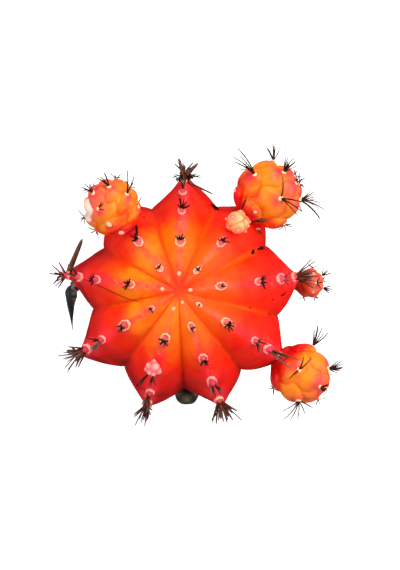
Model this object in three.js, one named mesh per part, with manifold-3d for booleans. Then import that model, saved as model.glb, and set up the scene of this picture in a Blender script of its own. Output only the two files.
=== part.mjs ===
// Potted moon cactus: a nine-ribbed red-orange head with its offsets, grafted on a three-winged green
// rootstock that stands in the soil of a small black nursery pot. Millimetres, +Z up. The origin is the
// centre of the pot's base, on the surface it stands on; seen from above, +X is right and +Y is up.
import * as THREE from "three";
import { mergeVertices } from "three/addons/utils/BufferGeometryUtils.js";
import Module from "manifold-3d";

// Pot
const POT_HEIGHT = 50;
const RIM_RADIUS = 27.5;
const RIM_THICKNESS = 1.5;
const RIM_BAND = 8;
const BASE_RADIUS = 19.5;
const WALL = 1.25;
const FLOOR_TOP = 3;
const UNDERSIDE_LIFT = 1.5;
const HUB_RADIUS = 8;
const FOOT_RING = 2.5;
const EDGE = 0.6;
const DRAINS = 6;
const DRAIN_RADIUS = 2.2;
const DRAIN_CIRCLE = 12.6;
const POT_FACETS = 32;

// Soil, and the rootstock that stands in it
const SOIL_TOP = 44;
const SOIL_RELIEF = 0.55;
const SOIL_RINGS = 6;
const CRUMBS = 20;
const CLEARANCE = 0.3;
const STOCK_FOOT = 20;
const GRAFT_HEIGHT = 87;
const WING_RADIUS = 14.5;
const FURROW_RADIUS = 8.4;
const WING_BEARING = 32;
const WING_BLUNTNESS = 0.1;
const WING_HOLLOW = 1.6;
const WING_SCALLOP = 0.045;
const STOCK_TWIST = 10;
const STOCK_FACETS = { round: 30, shaft: 12 };
const STOCK_PITCH = 14;
const FIRST_STOCK_AREOLE = 52;
const STOCK_SPINE = { length: 1.9, radius: 0.32, splay: 32, sunk: 0.2 };
const GRAFT_BEVEL = 4;
const CUT_RADIUS = 11.5;

// Head, measured from the graft
const HEAD_RADIUS = 33.5;
const DOME_HEIGHT = 27;
const UNDERSIDE_HEIGHT = 15;
const GRAFT_RADIUS = 12;
const FOOT_RIB_SHARE = 0.33;
const CROWN_DIMPLE = 1.4;
const DIMPLE_RADIUS = 5;
const NOTCH_DEPTH = 0.9;
const RIDGE_BLUNTNESS = 0.12;
const CROWN_RIB_FULLNESS = 1.9;
const FLANK_RIB_FULLNESS = 0.8;
const AREOLE_PITCH = 10;
const LAST_AREOLE = 6.2;
const HEAD_FACETS = { perRib: 6, rings: 21 };
// Each rib's bearing in degrees from +X, how far down it the first areole sits in pitches, its widest
// radius, and the widest radius of the furrow after it, anticlockwise from above.
const RIBS = [
  { bearing: 7, first: 0.2, ridge: 32.8, furrow: 27.1 },
  { bearing: 49, first: 0.77, ridge: 33.5, furrow: 26.5 },
  { bearing: 88, first: 0.35, ridge: 33.1, furrow: 24.7 },
  { bearing: 129, first: 0.85, ridge: 31, furrow: 24.7 },
  { bearing: 172, first: 0.3, ridge: 33.3, furrow: 25.5 },
  { bearing: 212, first: 0.75, ridge: 33.6, furrow: 25.9 },
  { bearing: 253, first: 0.33, ridge: 32.4, furrow: 27.2 },
  { bearing: 290, first: 0.05, ridge: 33.3, furrow: 27.4 },
  { bearing: 327, first: 0.62, ridge: 32.9, furrow: 28.7 },
];

// Spines and wool cushions
const SPINE_RADIUS = 0.34;
const SPINE_ROOT = 0.9;
const SPINE_SPREAD = 0.8;
const CUSHION = { wide: 1.15, proud: 0.55 };
const OFFSET_SPINE_RADIUS = 0.27;
const SPIKE_RADIUS = 0.55;
// Stout old spines: rib, pitches down it, where the tip looks, and length.
const SPIKES = [
  { rib: 4, pitches: 4.3, along: [0.42, 0.86, 0.25], length: 10.5 },
  { rib: 2, pitches: 3.35, along: [-0.08, 0.8, 0.6], length: 9 },
  { rib: 2, pitches: 3.35, along: [0.42, 0.74, 0.5], length: 8.5 },
  { rib: 2, pitches: 4.35, along: [0.75, 0.6, 0.25], length: 6 },
];

// Offsets are balls whose ribs are parted into tubercles, in rows from crown to foot.
const TUBERCLE_ROWS = 5;
const TUBERCLE_SWELL = 0.28;
const TUBERCLE_ROUNDNESS = 1.7;
const OFFSET_FURROW = 0.2;
const OFFSET_HEIGHT = 0.96;
const NECK = { head: 0.55, ball: 0.34, sunk: 1.5, sides: 10 };
const LARGE_OFFSET = 5;
// Rib and pitches down it where each one springs, its middle measured from the graft, and the way its
// own crown looks.
const OFFSETS = [
  {
    name: "offset_upper_right",
    radius: 9.3,
    ribs: 8,
    rib: 1,
    pitches: 3.77,
    middle: [24.2, 26.4, 28],
    crown: [0.45, 0.28, 0.85],
    spine: 6,
    finish: "orange",
  },
  {
    name: "offset_upper_left",
    radius: 8.1,
    ribs: 8,
    rib: 3,
    pitches: 2.85,
    middle: [-18.3, 22.9, 37],
    crown: [-0.6, 0.08, 0.8],
    spine: 3.8,
    finish: "orange",
  },
  {
    name: "offset_lower_right",
    radius: 8.6,
    ribs: 8,
    rib: 8,
    pitches: 4.62,
    middle: [34.1, -23.2, 19],
    crown: [0.64, -0.06, 0.76],
    spine: 5,
    finish: "orange",
  },
  {
    name: "offset_small_upper_right",
    radius: 3.3,
    ribs: 5,
    rib: 1,
    pitches: 2.77,
    middle: [16.1, 18.5, 36.2],
    crown: [0.25, 0.1, 0.96],
    spine: 2.4,
    finish: "pale",
  },
  {
    name: "offset_small_right",
    radius: 4.1,
    ribs: 7,
    rib: 0,
    pitches: 5.2,
    middle: [37, 2.2, 9.5],
    crown: [0.85, -0.1, 0.5],
    spine: 2.4,
    finish: "red",
  },
  {
    name: "bud_lower_left",
    radius: 2.2,
    ribs: 5,
    rib: 6,
    pitches: 2.33,
    middle: [-6.7, -21.6, 36.6],
    crown: [-0.1, -0.3, 0.95],
    spine: 0,
    finish: "pale",
  },
  {
    name: "stunted_offset",
    radius: 3.8,
    ribs: 6,
    rib: 7,
    pitches: 6.05,
    middle: [1.9, -29.2, 8.5],
    crown: [0.05, -0.75, 0.65],
    spine: 0,
    finish: "dull",
  },
];

// Withered flower: the middle line of its tube and of each dry petal, from the graft, with the widest
// half-width and half-thickness.
const WITHERED = [
  { line: [[-30.2, 3.4, 8.5], [-31.2, 1.4, 7.4], [-31, -1.2, 6]], wide: 1.5, thick: 1.4 },
  { line: [[-31.4, 1.2, 7], [-32.7, -3, 5], [-32.5, -8.5, 3], [-31.1, -14, 0.6]], wide: 1.3, thick: 0.5 },
  { line: [[-31, 0.6, 6.6], [-30.3, -3.4, 4.6], [-30.4, -6.4, 2]], wide: 0.8, thick: 0.45 },
];

const FINISHES = {
  plastic: { color: 0x17181a, roughness: 0.45, metalness: 0 },
  earth: { color: 0x3a2d22, roughness: 0.98, metalness: 0 },
  stem: { color: 0x4c7031, roughness: 0.6, metalness: 0 },
  red: { color: 0xff4a16, roughness: 0.42, metalness: 0 },
  orange: { color: 0xff7a1e, roughness: 0.42, metalness: 0 },
  pale: { color: 0xff9a6a, roughness: 0.5, metalness: 0 },
  dull: { color: 0x4a4634, roughness: 0.75, metalness: 0 },
  dry: { color: 0x1c1714, roughness: 0.7, metalness: 0 },
};

const UP = new THREE.Vector3(0, 0, 1);
const GRAFT = new THREE.Vector3(0, 0, GRAFT_HEIGHT);
const wasm = await Module();
wasm.setup();

// Seeded numbers from 0 to 1, the same at every run.
function dice(seed) {
  let state = seed;
  return () => {
    state = (Math.imul(state, 1664525) + 1013904223) >>> 0;
    return state / 4294967296;
  };
}

function mix(from, to, share) {
  return from + (to - from) * share;
}

function ease(from, to, value) {
  return THREE.MathUtils.smoothstep(value, from, to);
}

// A closed shape with only its positions, shared between its faces, and no face of two equal corners.
function welded(geometry) {
  const loose = geometry.index ? geometry.toNonIndexed() : geometry;
  const bare = new THREE.BufferGeometry().setAttribute("position", loose.getAttribute("position"));
  const merged = mergeVertices(bare, 1e-4);
  const corners = [];
  for (let i = 0; i < merged.index.count; i += 3) {
    const [a, b, c] = merged.index.array.slice(i, i + 3);
    if (a !== b && b !== c && c !== a) corners.push(a, b, c);
  }
  return merged.setIndex(corners);
}

function solidOf(shape) {
  const triVerts = new Uint32Array(shape.index.array);
  const vertProperties = shape.attributes.position.array;
  return new wasm.Manifold(new wasm.Mesh({ numProp: 3, vertProperties, triVerts }));
}

// The largest body of a solid: hollows that the joining sealed are filled, and loose scraps dropped.
function soundBody(solid) {
  return solid.decompose().reduce((kept, body) => (body.volume() > kept.volume() ? body : kept));
}

function meshOf(name, solid, finish) {
  const { vertProperties, triVerts } = soundBody(solid).getMesh();
  const geometry = new THREE.BufferGeometry();
  geometry.setAttribute("position", new THREE.BufferAttribute(vertProperties, 3));
  geometry.setIndex(new THREE.BufferAttribute(triVerts, 1));
  geometry.computeVertexNormals();
  const mesh = new THREE.Mesh(geometry, new THREE.MeshStandardMaterial(FINISHES[finish]));
  mesh.name = name;
  return mesh;
}

// A ball of rings whose every point is put where the form says: ring counts from the crown, and turn
// runs from 0 to 1 round the axis.
function formed(columns, rings, form) {
  const ball = new THREE.SphereGeometry(1, columns, rings).rotateX(Math.PI / 2);
  const points = ball.getAttribute("position");
  const point = new THREE.Vector3();
  for (let i = 0; i < points.count; i += 1) {
    point.fromBufferAttribute(points, i);
    const polar = Math.acos(THREE.MathUtils.clamp(point.z, -1, 1));
    const ring = Math.round((polar / Math.PI) * rings);
    const column = Math.round((Math.atan2(point.y, point.x) / (2 * Math.PI)) * columns);
    const placed = form(ring, ((column + columns) % columns) / columns);
    points.setXYZ(i, placed.x, placed.y, placed.z);
  }
  return welded(ball);
}

function atBearing(radius, degrees, height) {
  const angle = THREE.MathUtils.degToRad(degrees);
  return new THREE.Vector3(radius * Math.cos(angle), radius * Math.sin(angle), height);
}

function needle(from, along, length, radius, sides = 3) {
  const cone = welded(new THREE.ConeGeometry(radius, length + SPINE_ROOT, sides));
  cone.rotateX(Math.PI / 2).translate(0, 0, (length - SPINE_ROOT) / 2);
  cone.applyQuaternion(new THREE.Quaternion().setFromUnitVectors(UP, along));
  return solidOf(cone.translate(from.x, from.y, from.z));
}

function cushion(from, outward, size) {
  const pad = welded(new THREE.OctahedronGeometry(1, 0));
  pad.scale(CUSHION.wide * size, CUSHION.wide * size, CUSHION.proud * size);
  pad.applyQuaternion(new THREE.Quaternion().setFromUnitVectors(UP, outward));
  return solidOf(pad.translate(from.x, from.y, from.z));
}

// Head

const flare = Math.acos(GRAFT_RADIUS / HEAD_RADIUS);
const undersideReach = UNDERSIDE_HEIGHT / Math.sin(flare);
const dome = new THREE.EllipseCurve(
  0,
  UNDERSIDE_HEIGHT,
  HEAD_RADIUS,
  DOME_HEIGHT,
  Math.PI / 2,
  0,
  true,
);
const underside = new THREE.EllipseCurve(
  0,
  UNDERSIDE_HEIGHT,
  HEAD_RADIUS,
  undersideReach,
  0,
  -flare,
  true,
);
const meridian = new THREE.CurvePath();
meridian.add(dome);
meridian.add(underside);
const meridianLength = meridian.getLength();
const equatorShare = dome.getLength() / meridianLength;

function ribAt(number) {
  return RIBS[((number % RIBS.length) + RIBS.length) % RIBS.length];
}

// The head's widest radius along a rib coordinate, where whole numbers are the ribs.
function ridgeRadius(coordinate) {
  const from = Math.floor(coordinate);
  return mix(ribAt(from).ridge, ribAt(from + 1).ridge, coordinate - from);
}

// Bearing in degrees of a rib coordinate.
function ribBearing(coordinate) {
  const turns = Math.floor(coordinate / RIBS.length);
  const within = coordinate - turns * RIBS.length;
  const index = Math.floor(within);
  const from = RIBS[index].bearing;
  const last = index === RIBS.length - 1;
  const to = last ? RIBS[0].bearing + 360 : RIBS[index + 1].bearing;
  return mix(from, to, within - index) + turns * 360;
}

// The head's skin at a share of the meridian and a rib coordinate, grown outwards by a clearance.
function headSkin(share, coordinate, grow = 0) {
  const at = meridian.getPoint(share);
  const tangent = meridian.getTangent(share);
  const below = share >= equatorShare;
  const outward = below ? new THREE.Vector2(1, 0) : new THREE.Vector2(-tangent.y, tangent.x);
  const reach = at.x / HEAD_RADIUS;
  const nearest = Math.round(coordinate);
  const offRidge = Math.min(1, 2 * Math.abs(coordinate - nearest));
  const rounded = Math.hypot(offRidge, RIDGE_BLUNTNESS) - RIDGE_BLUNTNESS;
  const flank = rounded / (Math.hypot(1, RIDGE_BLUNTNESS) - RIDGE_BLUNTNESS);
  const fullness = mix(CROWN_RIB_FULLNESS, FLANK_RIB_FULLNESS, ease(0.05, 0.55, share));
  const footShare = (1 - reach) / (1 - GRAFT_RADIUS / HEAD_RADIUS);
  const ridge = ridgeRadius(coordinate);
  const equatorDepth = ridge - ribAt(Math.floor(coordinate)).furrow;
  const depth = equatorDepth * (below ? mix(1, FOOT_RIB_SHARE, footShare) : Math.pow(reach, 1.25));
  const pitches = (share * meridianLength) / AREOLE_PITCH;
  const rib = ribAt(nearest);
  const between = 0.5 - 0.5 * Math.cos(2 * Math.PI * (pitches - rib.first));
  const fading = ease(0.12, 0.45, share) * (1 - ease(0.85, 1, share));
  const notch = NOTCH_DEPTH * between * fading * Math.pow(1 - flank, 2);
  const sink = depth * Math.pow(flank, fullness) + notch - grow;
  const widest = below ? mix(ridge, HEAD_RADIUS, footShare) : ridge;
  const radius = Math.max(0, (at.x * widest) / HEAD_RADIUS - outward.x * sink);
  const dimple = CROWN_DIMPLE * Math.exp(-((at.x / DIMPLE_RADIUS) ** 2));
  const height = at.y - outward.y * sink - dimple;
  return atBearing(radius, ribBearing(coordinate), height).add(GRAFT);
}

// The head without its spines, closed below by the flat of the graft.
function headFlesh(grow = 0) {
  const { perRib, rings } = HEAD_FACETS;
  const form = (ring, turn) => {
    if (ring === rings) return GRAFT;
    const placed = headSkin(ring / (rings - 1), turn * RIBS.length, ring === 0 ? 0 : grow);
    if (ring === rings - 1) placed.z = GRAFT_HEIGHT;
    return placed;
  };
  return solidOf(formed(RIBS.length * perRib, rings, form));
}

// Where an areole sits, the way its skin faces, the way down the rib, and the way across it.
function areole(rib, pitches) {
  const share = (pitches * AREOLE_PITCH) / meridianLength;
  const at = headSkin(share, rib);
  const above = headSkin(Math.max(0, share - 0.01), rib);
  const down = headSkin(share + 0.01, rib).sub(above).normalize();
  const bearing = THREE.MathUtils.degToRad(RIBS[rib].bearing);
  const across = new THREE.Vector3(-Math.sin(bearing), Math.cos(bearing), 0);
  const outward = new THREE.Vector3().crossVectors(down, across);
  return { at, down, across, outward };
}

const balls = OFFSETS.map(({ middle, radius }) => ({
  middle: new THREE.Vector3(...middle).add(GRAFT),
  radius,
}));

function clearOf(obstacles, from, to, margin) {
  const nearest = new THREE.Vector3();
  const line = new THREE.Line3(from, to);
  return obstacles.every(({ middle, radius }) => {
    line.closestPointToPoint(middle, true, nearest);
    return nearest.distanceTo(middle) > radius + margin;
  });
}

// How many spines an areole bears, their length, and how far they lie down along the rib.
function spineHabit(pitches) {
  if (pitches < 1.3) return { count: 1, length: 1.5, lie: 0.1 };
  if (pitches < 2.6) return { count: 2, length: 2.8, lie: 0.6 };
  if (pitches < 3.5) return { count: 3, length: 4.4, lie: 0.8 };
  if (pitches < 5.4) return { count: 5, length: 5.8, lie: 0.5 };
  return { count: 3, length: 4.5, lie: 0.1 };
}

function springsAnOffset(rib, pitches) {
  return OFFSETS.some((offset) => offset.rib === rib && Math.abs(offset.pitches - pitches) < 0.5);
}

function areoleSpines(spring, pitches, roll) {
  const { count, length, lie } = spineHabit(pitches);
  const grown = [];
  for (let i = 0; i < count; i += 1) {
    const fan = ((i + 0.5) / count) * 2 - 1 + 0.3 * (roll() - 0.5);
    const along = spring.outward
      .clone()
      .multiplyScalar(0.75 + 0.35 * roll() - 0.35 * (i % 2))
      .addScaledVector(spring.down, lie * (0.7 + 0.5 * roll()))
      .addScaledVector(spring.across, fan * 0.75)
      .normalize();
    const reach = length * (0.75 + 0.5 * roll());
    const root = spring.at.clone().addScaledVector(spring.across, fan * SPINE_SPREAD);
    const tip = root.clone().addScaledVector(along, reach);
    if (clearOf(balls, root, tip, 0.9)) grown.push(needle(root, along, reach, SPINE_RADIUS));
  }
  return grown;
}

function headSpines() {
  const roll = dice(7);
  const grown = [];
  RIBS.forEach(({ first }, rib) => {
    for (let pitches = first; pitches <= LAST_AREOLE; pitches += 1) {
      const spring = areole(rib, pitches);
      const size = mix(0.5, 1, ease(0.2, 1.6, pitches));
      const covered = springsAnOffset(rib, pitches) || !clearOf(balls, spring.at, spring.at, 1.6);
      if (covered) continue;
      grown.push(cushion(spring.at, spring.outward, size), ...areoleSpines(spring, pitches, roll));
    }
  });
  for (const { rib, pitches, along, length } of SPIKES) {
    const way = new THREE.Vector3(...along).normalize();
    grown.push(needle(areole(rib, pitches).at, way, length, SPIKE_RADIUS, 4));
  }
  return grown;
}

function head() {
  return wasm.Manifold.union([headFlesh(), ...headSpines()]);
}

// Offsets

// An offset's own skin about its middle: its ribs swell into tubercles, each rib half a row on from
// the last.
function offsetSkin({ radius, ribs }, share, coordinate) {
  const polar = share * Math.PI;
  const nearest = Math.round(coordinate);
  const offRidge = 2 * Math.abs(coordinate - nearest);
  const row = share * TUBERCLE_ROWS - (nearest % 2) * 0.5;
  const swell = 1 - TUBERCLE_SWELL * (1 - Math.cos(2 * Math.PI * row));
  const relief = (1 - Math.pow(offRidge, TUBERCLE_ROUNDNESS)) * swell;
  const girth = radius * (1 - OFFSET_FURROW * (1 - relief) * Math.sqrt(Math.sin(polar)));
  const height = girth * OFFSET_HEIGHT * Math.cos(polar);
  return atBearing(girth * Math.sin(polar), (coordinate / ribs) * 360, height);
}

// Spines of an offset about its middle, from an areole on each tubercle of its upper rows.
function offsetSpines(offset) {
  const roll = dice(Math.round(offset.radius * 100));
  const large = offset.radius > LARGE_OFFSET;
  const grown = [];
  for (let rib = 0; rib < offset.ribs; rib += 1) {
    for (let row = 1; row <= (large ? 3 : 2); row += 1) {
      const from = offsetSkin(offset, (row - (rib % 2) * 0.5) / TUBERCLE_ROWS, rib);
      const outward = from.clone().normalize();
      const across = new THREE.Vector3().crossVectors(UP, outward).normalize();
      const down = new THREE.Vector3().crossVectors(across, outward);
      for (const side of large ? [-1, 1] : [1]) {
        const along = outward
          .clone()
          .multiplyScalar(0.8 + 0.3 * roll())
          .addScaledVector(across, side * 0.5 + 0.3 * (roll() - 0.5))
          .addScaledVector(down, 0.5 * (roll() - 0.3))
          .normalize();
        grown.push({ from, along, length: offset.spine * (0.6 + 0.5 * roll()) });
      }
    }
  }
  return grown;
}

// The neck from an offset's middle to its areole on the head, which the head's flesh then cuts short.
function offsetNeck({ radius }, middle, root) {
  const reach = root.distanceTo(middle);
  const towards = root.clone().sub(middle).normalize();
  const neck = welded(
    new THREE.CylinderGeometry(radius * NECK.ball, radius * NECK.head, reach, NECK.sides),
  );
  neck.rotateX(Math.PI / 2).translate(0, 0, reach / 2);
  neck.applyQuaternion(new THREE.Quaternion().setFromUnitVectors(UP, towards));
  return solidOf(neck.translate(middle.x, middle.y, middle.z));
}

function offsetSolid(offset, cutter) {
  const middle = new THREE.Vector3(...offset.middle).add(GRAFT);
  const crown = new THREE.Vector3(...offset.crown).normalize();
  const turned = new THREE.Quaternion().setFromUnitVectors(UP, crown);
  const rings = 2 * TUBERCLE_ROWS;
  const ball = formed(offset.ribs * 4, rings, (ring, turn) =>
    offsetSkin(offset, ring / rings, turn * offset.ribs),
  );
  ball.applyQuaternion(turned).translate(middle.x, middle.y, middle.z);
  const spring = areole(offset.rib, offset.pitches);
  const root = spring.at.clone().addScaledVector(spring.outward, -NECK.sunk);
  const grown = [solidOf(ball).add(offsetNeck(offset, middle, root)).subtract(cutter)];
  const others = balls.filter((other) => other.middle.distanceTo(middle) > 0);
  const rootward = root.clone().sub(middle).normalize();
  for (const spine of offset.spine ? offsetSpines(offset) : []) {
    const from = spine.from.applyQuaternion(turned).add(middle);
    const along = spine.along.applyQuaternion(turned);
    const tip = from.clone().addScaledVector(along, spine.length);
    if (along.dot(rootward) < 0.2 && clearOf(others, from, tip, 0.7))
      grown.push(needle(from, along, spine.length, OFFSET_SPINE_RADIUS));
  }
  return wasm.Manifold.union(grown);
}

// Withered flower

// A dry leaf-like piece along a middle line, narrow where it springs and pointed at its tip.
function dryPiece({ line, wide, thick }) {
  const curve = new THREE.CatmullRomCurve3(line.map((point) => new THREE.Vector3(...point).add(GRAFT)));
  const rings = 8;
  const piece = formed(6, rings, (ring, turn) => {
    const share = ring / rings;
    const tangent = curve.getTangent(share);
    const flat = new THREE.Vector3().crossVectors(tangent, UP).normalize();
    const upright = new THREE.Vector3().crossVectors(flat, tangent).normalize();
    const swell = ring === 0 ? 0 : Math.sqrt(Math.sin(Math.PI * (0.2 + 0.8 * share)));
    const angle = turn * 2 * Math.PI;
    return curve
      .getPoint(share)
      .addScaledVector(flat, Math.cos(angle) * wide * swell)
      .addScaledVector(upright, Math.sin(angle) * thick * swell);
  });
  return solidOf(piece);
}

function witheredFlower(cutter) {
  return wasm.Manifold.union(WITHERED.map(dryPiece)).subtract(cutter);
}

// Rootstock

// The rootstock's radius and bearing at a height, with a wing wherever three turns make a whole number.
function wingSection(turn, height) {
  const twist = STOCK_TWIST * ((height - STOCK_FOOT) / (GRAFT_HEIGHT - STOCK_FOOT));
  const sector = turn * 3;
  const offWing = Math.min(1, 2 * Math.abs(sector - Math.round(sector)));
  const flank = Math.max(0, (offWing - WING_BLUNTNESS) / (1 - WING_BLUNTNESS));
  const wave = Math.cos((2 * Math.PI * (height - FIRST_STOCK_AREOLE)) / STOCK_PITCH);
  const wing = WING_RADIUS * (1 - WING_SCALLOP * (0.5 + 0.5 * wave));
  const radius = FURROW_RADIUS + (wing - FURROW_RADIUS) * Math.pow(1 - flank, WING_HOLLOW);
  return { radius, bearing: turn * 360 + WING_BEARING + twist };
}

// The rootstock without its spines, cut flat on top with its wings shouldered off round the cut.
function rootstock(grow = 0) {
  const shoulder = GRAFT_HEIGHT - GRAFT_BEVEL;
  const bottom = STOCK_FOOT - grow;
  const heights = [GRAFT_HEIGHT, GRAFT_HEIGHT - GRAFT_BEVEL / 2, shoulder];
  for (let i = 1; i <= STOCK_FACETS.shaft; i += 1)
    heights.push(mix(shoulder, bottom, i / STOCK_FACETS.shaft));
  const rings = heights.length + 1;
  const form = (ring, turn) => {
    if (ring === 0) return GRAFT;
    if (ring === rings) return new THREE.Vector3(0, 0, bottom);
    const height = heights[ring - 1];
    const { radius, bearing } = wingSection(turn, height);
    const shouldered = Math.min(radius, CUT_RADIUS + GRAFT_HEIGHT - height);
    return atBearing(shouldered + grow, bearing, height);
  };
  return solidOf(formed(STOCK_FACETS.round, rings, form));
}

function stockWithSpines() {
  const roll = dice(21);
  const grown = [rootstock()];
  const { length, radius: thick, splay, sunk } = STOCK_SPINE;
  for (let wing = 0; wing < 3; wing += 1) {
    for (let height = FIRST_STOCK_AREOLE; height < GRAFT_HEIGHT - 6; height += STOCK_PITCH) {
      const { radius, bearing } = wingSection(wing / 3, height);
      const at = atBearing(radius - sunk, bearing, height);
      grown.push(cushion(at, atBearing(1, bearing, 0), 0.9));
      for (const side of [-1, 1]) {
        const along = atBearing(1, bearing + side * splay + 12 * (roll() - 0.5), 0.25 * roll());
        grown.push(needle(at, along.normalize(), length, thick));
      }
    }
  }
  return wasm.Manifold.union(grown);
}

// Soil

function innerRadius(height) {
  const share = (height - FLOOR_TOP) / (POT_HEIGHT - FLOOR_TOP);
  return mix(BASE_RADIUS - WALL, RIM_RADIUS - RIM_THICKNESS, share);
}

const soilEdge = innerRadius(SOIL_TOP) - CLEARANCE;

// The height of the uneven soil, which is level in the middle and at the pot's wall.
function soilHeight(radius, bearing) {
  const angle = THREE.MathUtils.degToRad(bearing);
  const rough = Math.sin(5 * angle + radius * 0.55) + Math.cos(3 * angle - radius * 0.8);
  const inward = (4 * radius * (soilEdge - radius)) / (soilEdge * soilEdge);
  return SOIL_TOP - SOIL_RELIEF + SOIL_RELIEF * rough * inward;
}

function soil(cutter) {
  const rings = SOIL_RINGS + 2;
  const form = (ring, turn) => {
    if (ring === rings) return new THREE.Vector3(0, 0, FLOOR_TOP);
    if (ring > SOIL_RINGS)
      return atBearing(innerRadius(FLOOR_TOP) - CLEARANCE, turn * 360, FLOOR_TOP);
    const radius = (soilEdge * ring) / SOIL_RINGS;
    return atBearing(radius, turn * 360, soilHeight(radius, turn * 360));
  };
  const roll = dice(5);
  const pieces = [solidOf(formed(POT_FACETS, rings, form))];
  for (let i = 0; i < CRUMBS; i += 1) {
    const size = 0.9 + 1.1 * roll();
    const radius = mix(WING_RADIUS + 0.8 + size, soilEdge - size - 0.5, roll());
    const bearing = ((i + 0.6 * roll()) / CRUMBS) * 360;
    const crumb = welded(new THREE.OctahedronGeometry(size, 0));
    crumb.scale(1, 0.8 + 0.3 * roll(), 0.75).rotateZ(roll() * Math.PI);
    const at = atBearing(radius, bearing, soilHeight(radius, bearing) + 0.2 * size);
    pieces.push(solidOf(crumb.translate(at.x, at.y, at.z)));
  }
  return wasm.Manifold.union(pieces).subtract(cutter);
}

// Pot

// The pot turned from one outline, from the middle of its underside round the foot ring, up the wall to
// the rim band and down inside to the floor, then drilled through its raised underside.
function pot() {
  const bandFoot = POT_HEIGHT - RIM_BAND;
  const wallTop = innerRadius(bandFoot) + WALL;
  const rimInner = RIM_RADIUS - RIM_THICKNESS;
  const outline = [
    [0, 0],
    [HUB_RADIUS, 0],
    [HUB_RADIUS + 1, UNDERSIDE_LIFT],
    [BASE_RADIUS - FOOT_RING - EDGE, UNDERSIDE_LIFT],
    [BASE_RADIUS - FOOT_RING, 0],
    [BASE_RADIUS - EDGE, 0],
    [BASE_RADIUS, EDGE],
    [wallTop, bandFoot - EDGE],
    [RIM_RADIUS - EDGE, bandFoot],
    [RIM_RADIUS - EDGE / 3, bandFoot + EDGE],
    [RIM_RADIUS, POT_HEIGHT - EDGE],
    [RIM_RADIUS - EDGE, POT_HEIGHT],
    [rimInner + EDGE / 2, POT_HEIGHT],
    [rimInner, POT_HEIGHT - EDGE],
    [innerRadius(FLOOR_TOP), FLOOR_TOP],
    [0, FLOOR_TOP],
  ].map(([radius, height]) => new THREE.Vector2(radius, height));
  let body = solidOf(welded(new THREE.LatheGeometry(outline, POT_FACETS).rotateX(Math.PI / 2)));
  for (let i = 0; i < DRAINS; i += 1) {
    const at = atBearing(DRAIN_CIRCLE, ((i + 0.5) / DRAINS) * 360, FLOOR_TOP / 2);
    const drill = welded(new THREE.CylinderGeometry(DRAIN_RADIUS, DRAIN_RADIUS, FLOOR_TOP * 2, 8));
    body = body.subtract(solidOf(drill.rotateX(Math.PI / 2).translate(at.x, at.y, at.z)));
  }
  return body;
}

const headClearance = headFlesh(CLEARANCE * 1.5);
const cactus = new THREE.Group();
cactus.add(meshOf("pot", pot(), "plastic"));
cactus.add(meshOf("soil", soil(rootstock(CLEARANCE)), "earth"));
cactus.add(meshOf("rootstock", stockWithSpines(), "stem"));
cactus.add(meshOf("head", head(), "red"));
for (const offset of OFFSETS)
  cactus.add(meshOf(offset.name, offsetSolid(offset, headClearance), offset.finish));
cactus.add(meshOf("withered_flower", witheredFlower(headClearance), "dry"));

export default cactus;
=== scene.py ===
# Potted moon cactus seen from straight above: a ribbed red-orange head with its offsets, grafted on a
# winged green rootstock in a small black nursery pot. Shapes are worked out in millimetres and turned
# into metres when a piece is finished. Seen from above, +X is right and +Y is up.
import math
import random

import bmesh
import bpy
import numpy as np
from mathutils import Matrix, Vector, noise
from mathutils.bvhtree import BVHTree


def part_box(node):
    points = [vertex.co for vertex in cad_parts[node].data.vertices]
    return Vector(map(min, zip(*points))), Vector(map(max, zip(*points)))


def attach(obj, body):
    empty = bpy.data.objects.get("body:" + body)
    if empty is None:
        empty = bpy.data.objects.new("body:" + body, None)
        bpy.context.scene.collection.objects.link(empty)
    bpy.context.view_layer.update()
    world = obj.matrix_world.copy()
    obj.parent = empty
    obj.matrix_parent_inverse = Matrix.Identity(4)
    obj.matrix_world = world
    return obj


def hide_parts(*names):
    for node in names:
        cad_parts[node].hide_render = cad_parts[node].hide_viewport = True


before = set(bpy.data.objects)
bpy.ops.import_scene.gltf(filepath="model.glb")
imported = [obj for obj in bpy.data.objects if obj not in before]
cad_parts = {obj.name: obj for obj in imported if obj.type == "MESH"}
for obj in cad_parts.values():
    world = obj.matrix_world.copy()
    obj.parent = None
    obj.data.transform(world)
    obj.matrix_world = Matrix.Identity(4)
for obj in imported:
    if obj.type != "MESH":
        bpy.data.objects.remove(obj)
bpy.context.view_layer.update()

scene = bpy.context.scene

# Pot
# A small nursery pot, injection moulded from thin black polypropylene in one piece: a tapered wall, a
# deeper rim band that it is carried by, and a raised floor with drain holes inside the foot ring.
MM = 0.001
_, pot_corner = (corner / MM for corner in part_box("pot"))
POT_HEIGHT = pot_corner.z
RIM_RADIUS = pot_corner.x
RIM_THICKNESS = 1.5
RIM_BAND = 8
BASE_RADIUS = 19.5
WALL = 1.25
FLOOR_TOP = 3
UNDERSIDE_LIFT = 1.5
HUB_RADIUS = 8
HUB_SLOPE = 1
FOOT_RING = 2.5
MOULD_EDGE = 0.6
MOULD_ROUNDING = 0.2
SHARP_CORNER = math.radians(20)
# The small ledge inside that keeps stacked pots apart: its depth, and how far up it is.
LEDGE = 0.3
LEDGE_SHARE = 0.45
DRAINS = 6
DRAIN_RADIUS = 2.2
DRAIN_CIRCLE = 12.6
DRAIN_SIDES = 32
POT_STEPS = 120
POT_BLACKS = [(0.3, "101113"), (0.7, "1A1B1D")]
DRIED_DUST = "8A7A66"
# Heights in metres over which the dust on the foot thins out and the tide mark on the rim sets in.
DUSTY_FOOT = (0.0, 0.016)
TIDE_MARK = (0.044, 0.05)


def linear(code):
    """A colour written as six hex digits, as a shader wants it."""
    shares = [int(code[at : at + 2], 16) / 255 for at in (0, 2, 4)]
    return tuple(s / 12.92 if s <= 0.04045 else ((s + 0.055) / 1.055) ** 2.4 for s in shares) + (1,)


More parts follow.
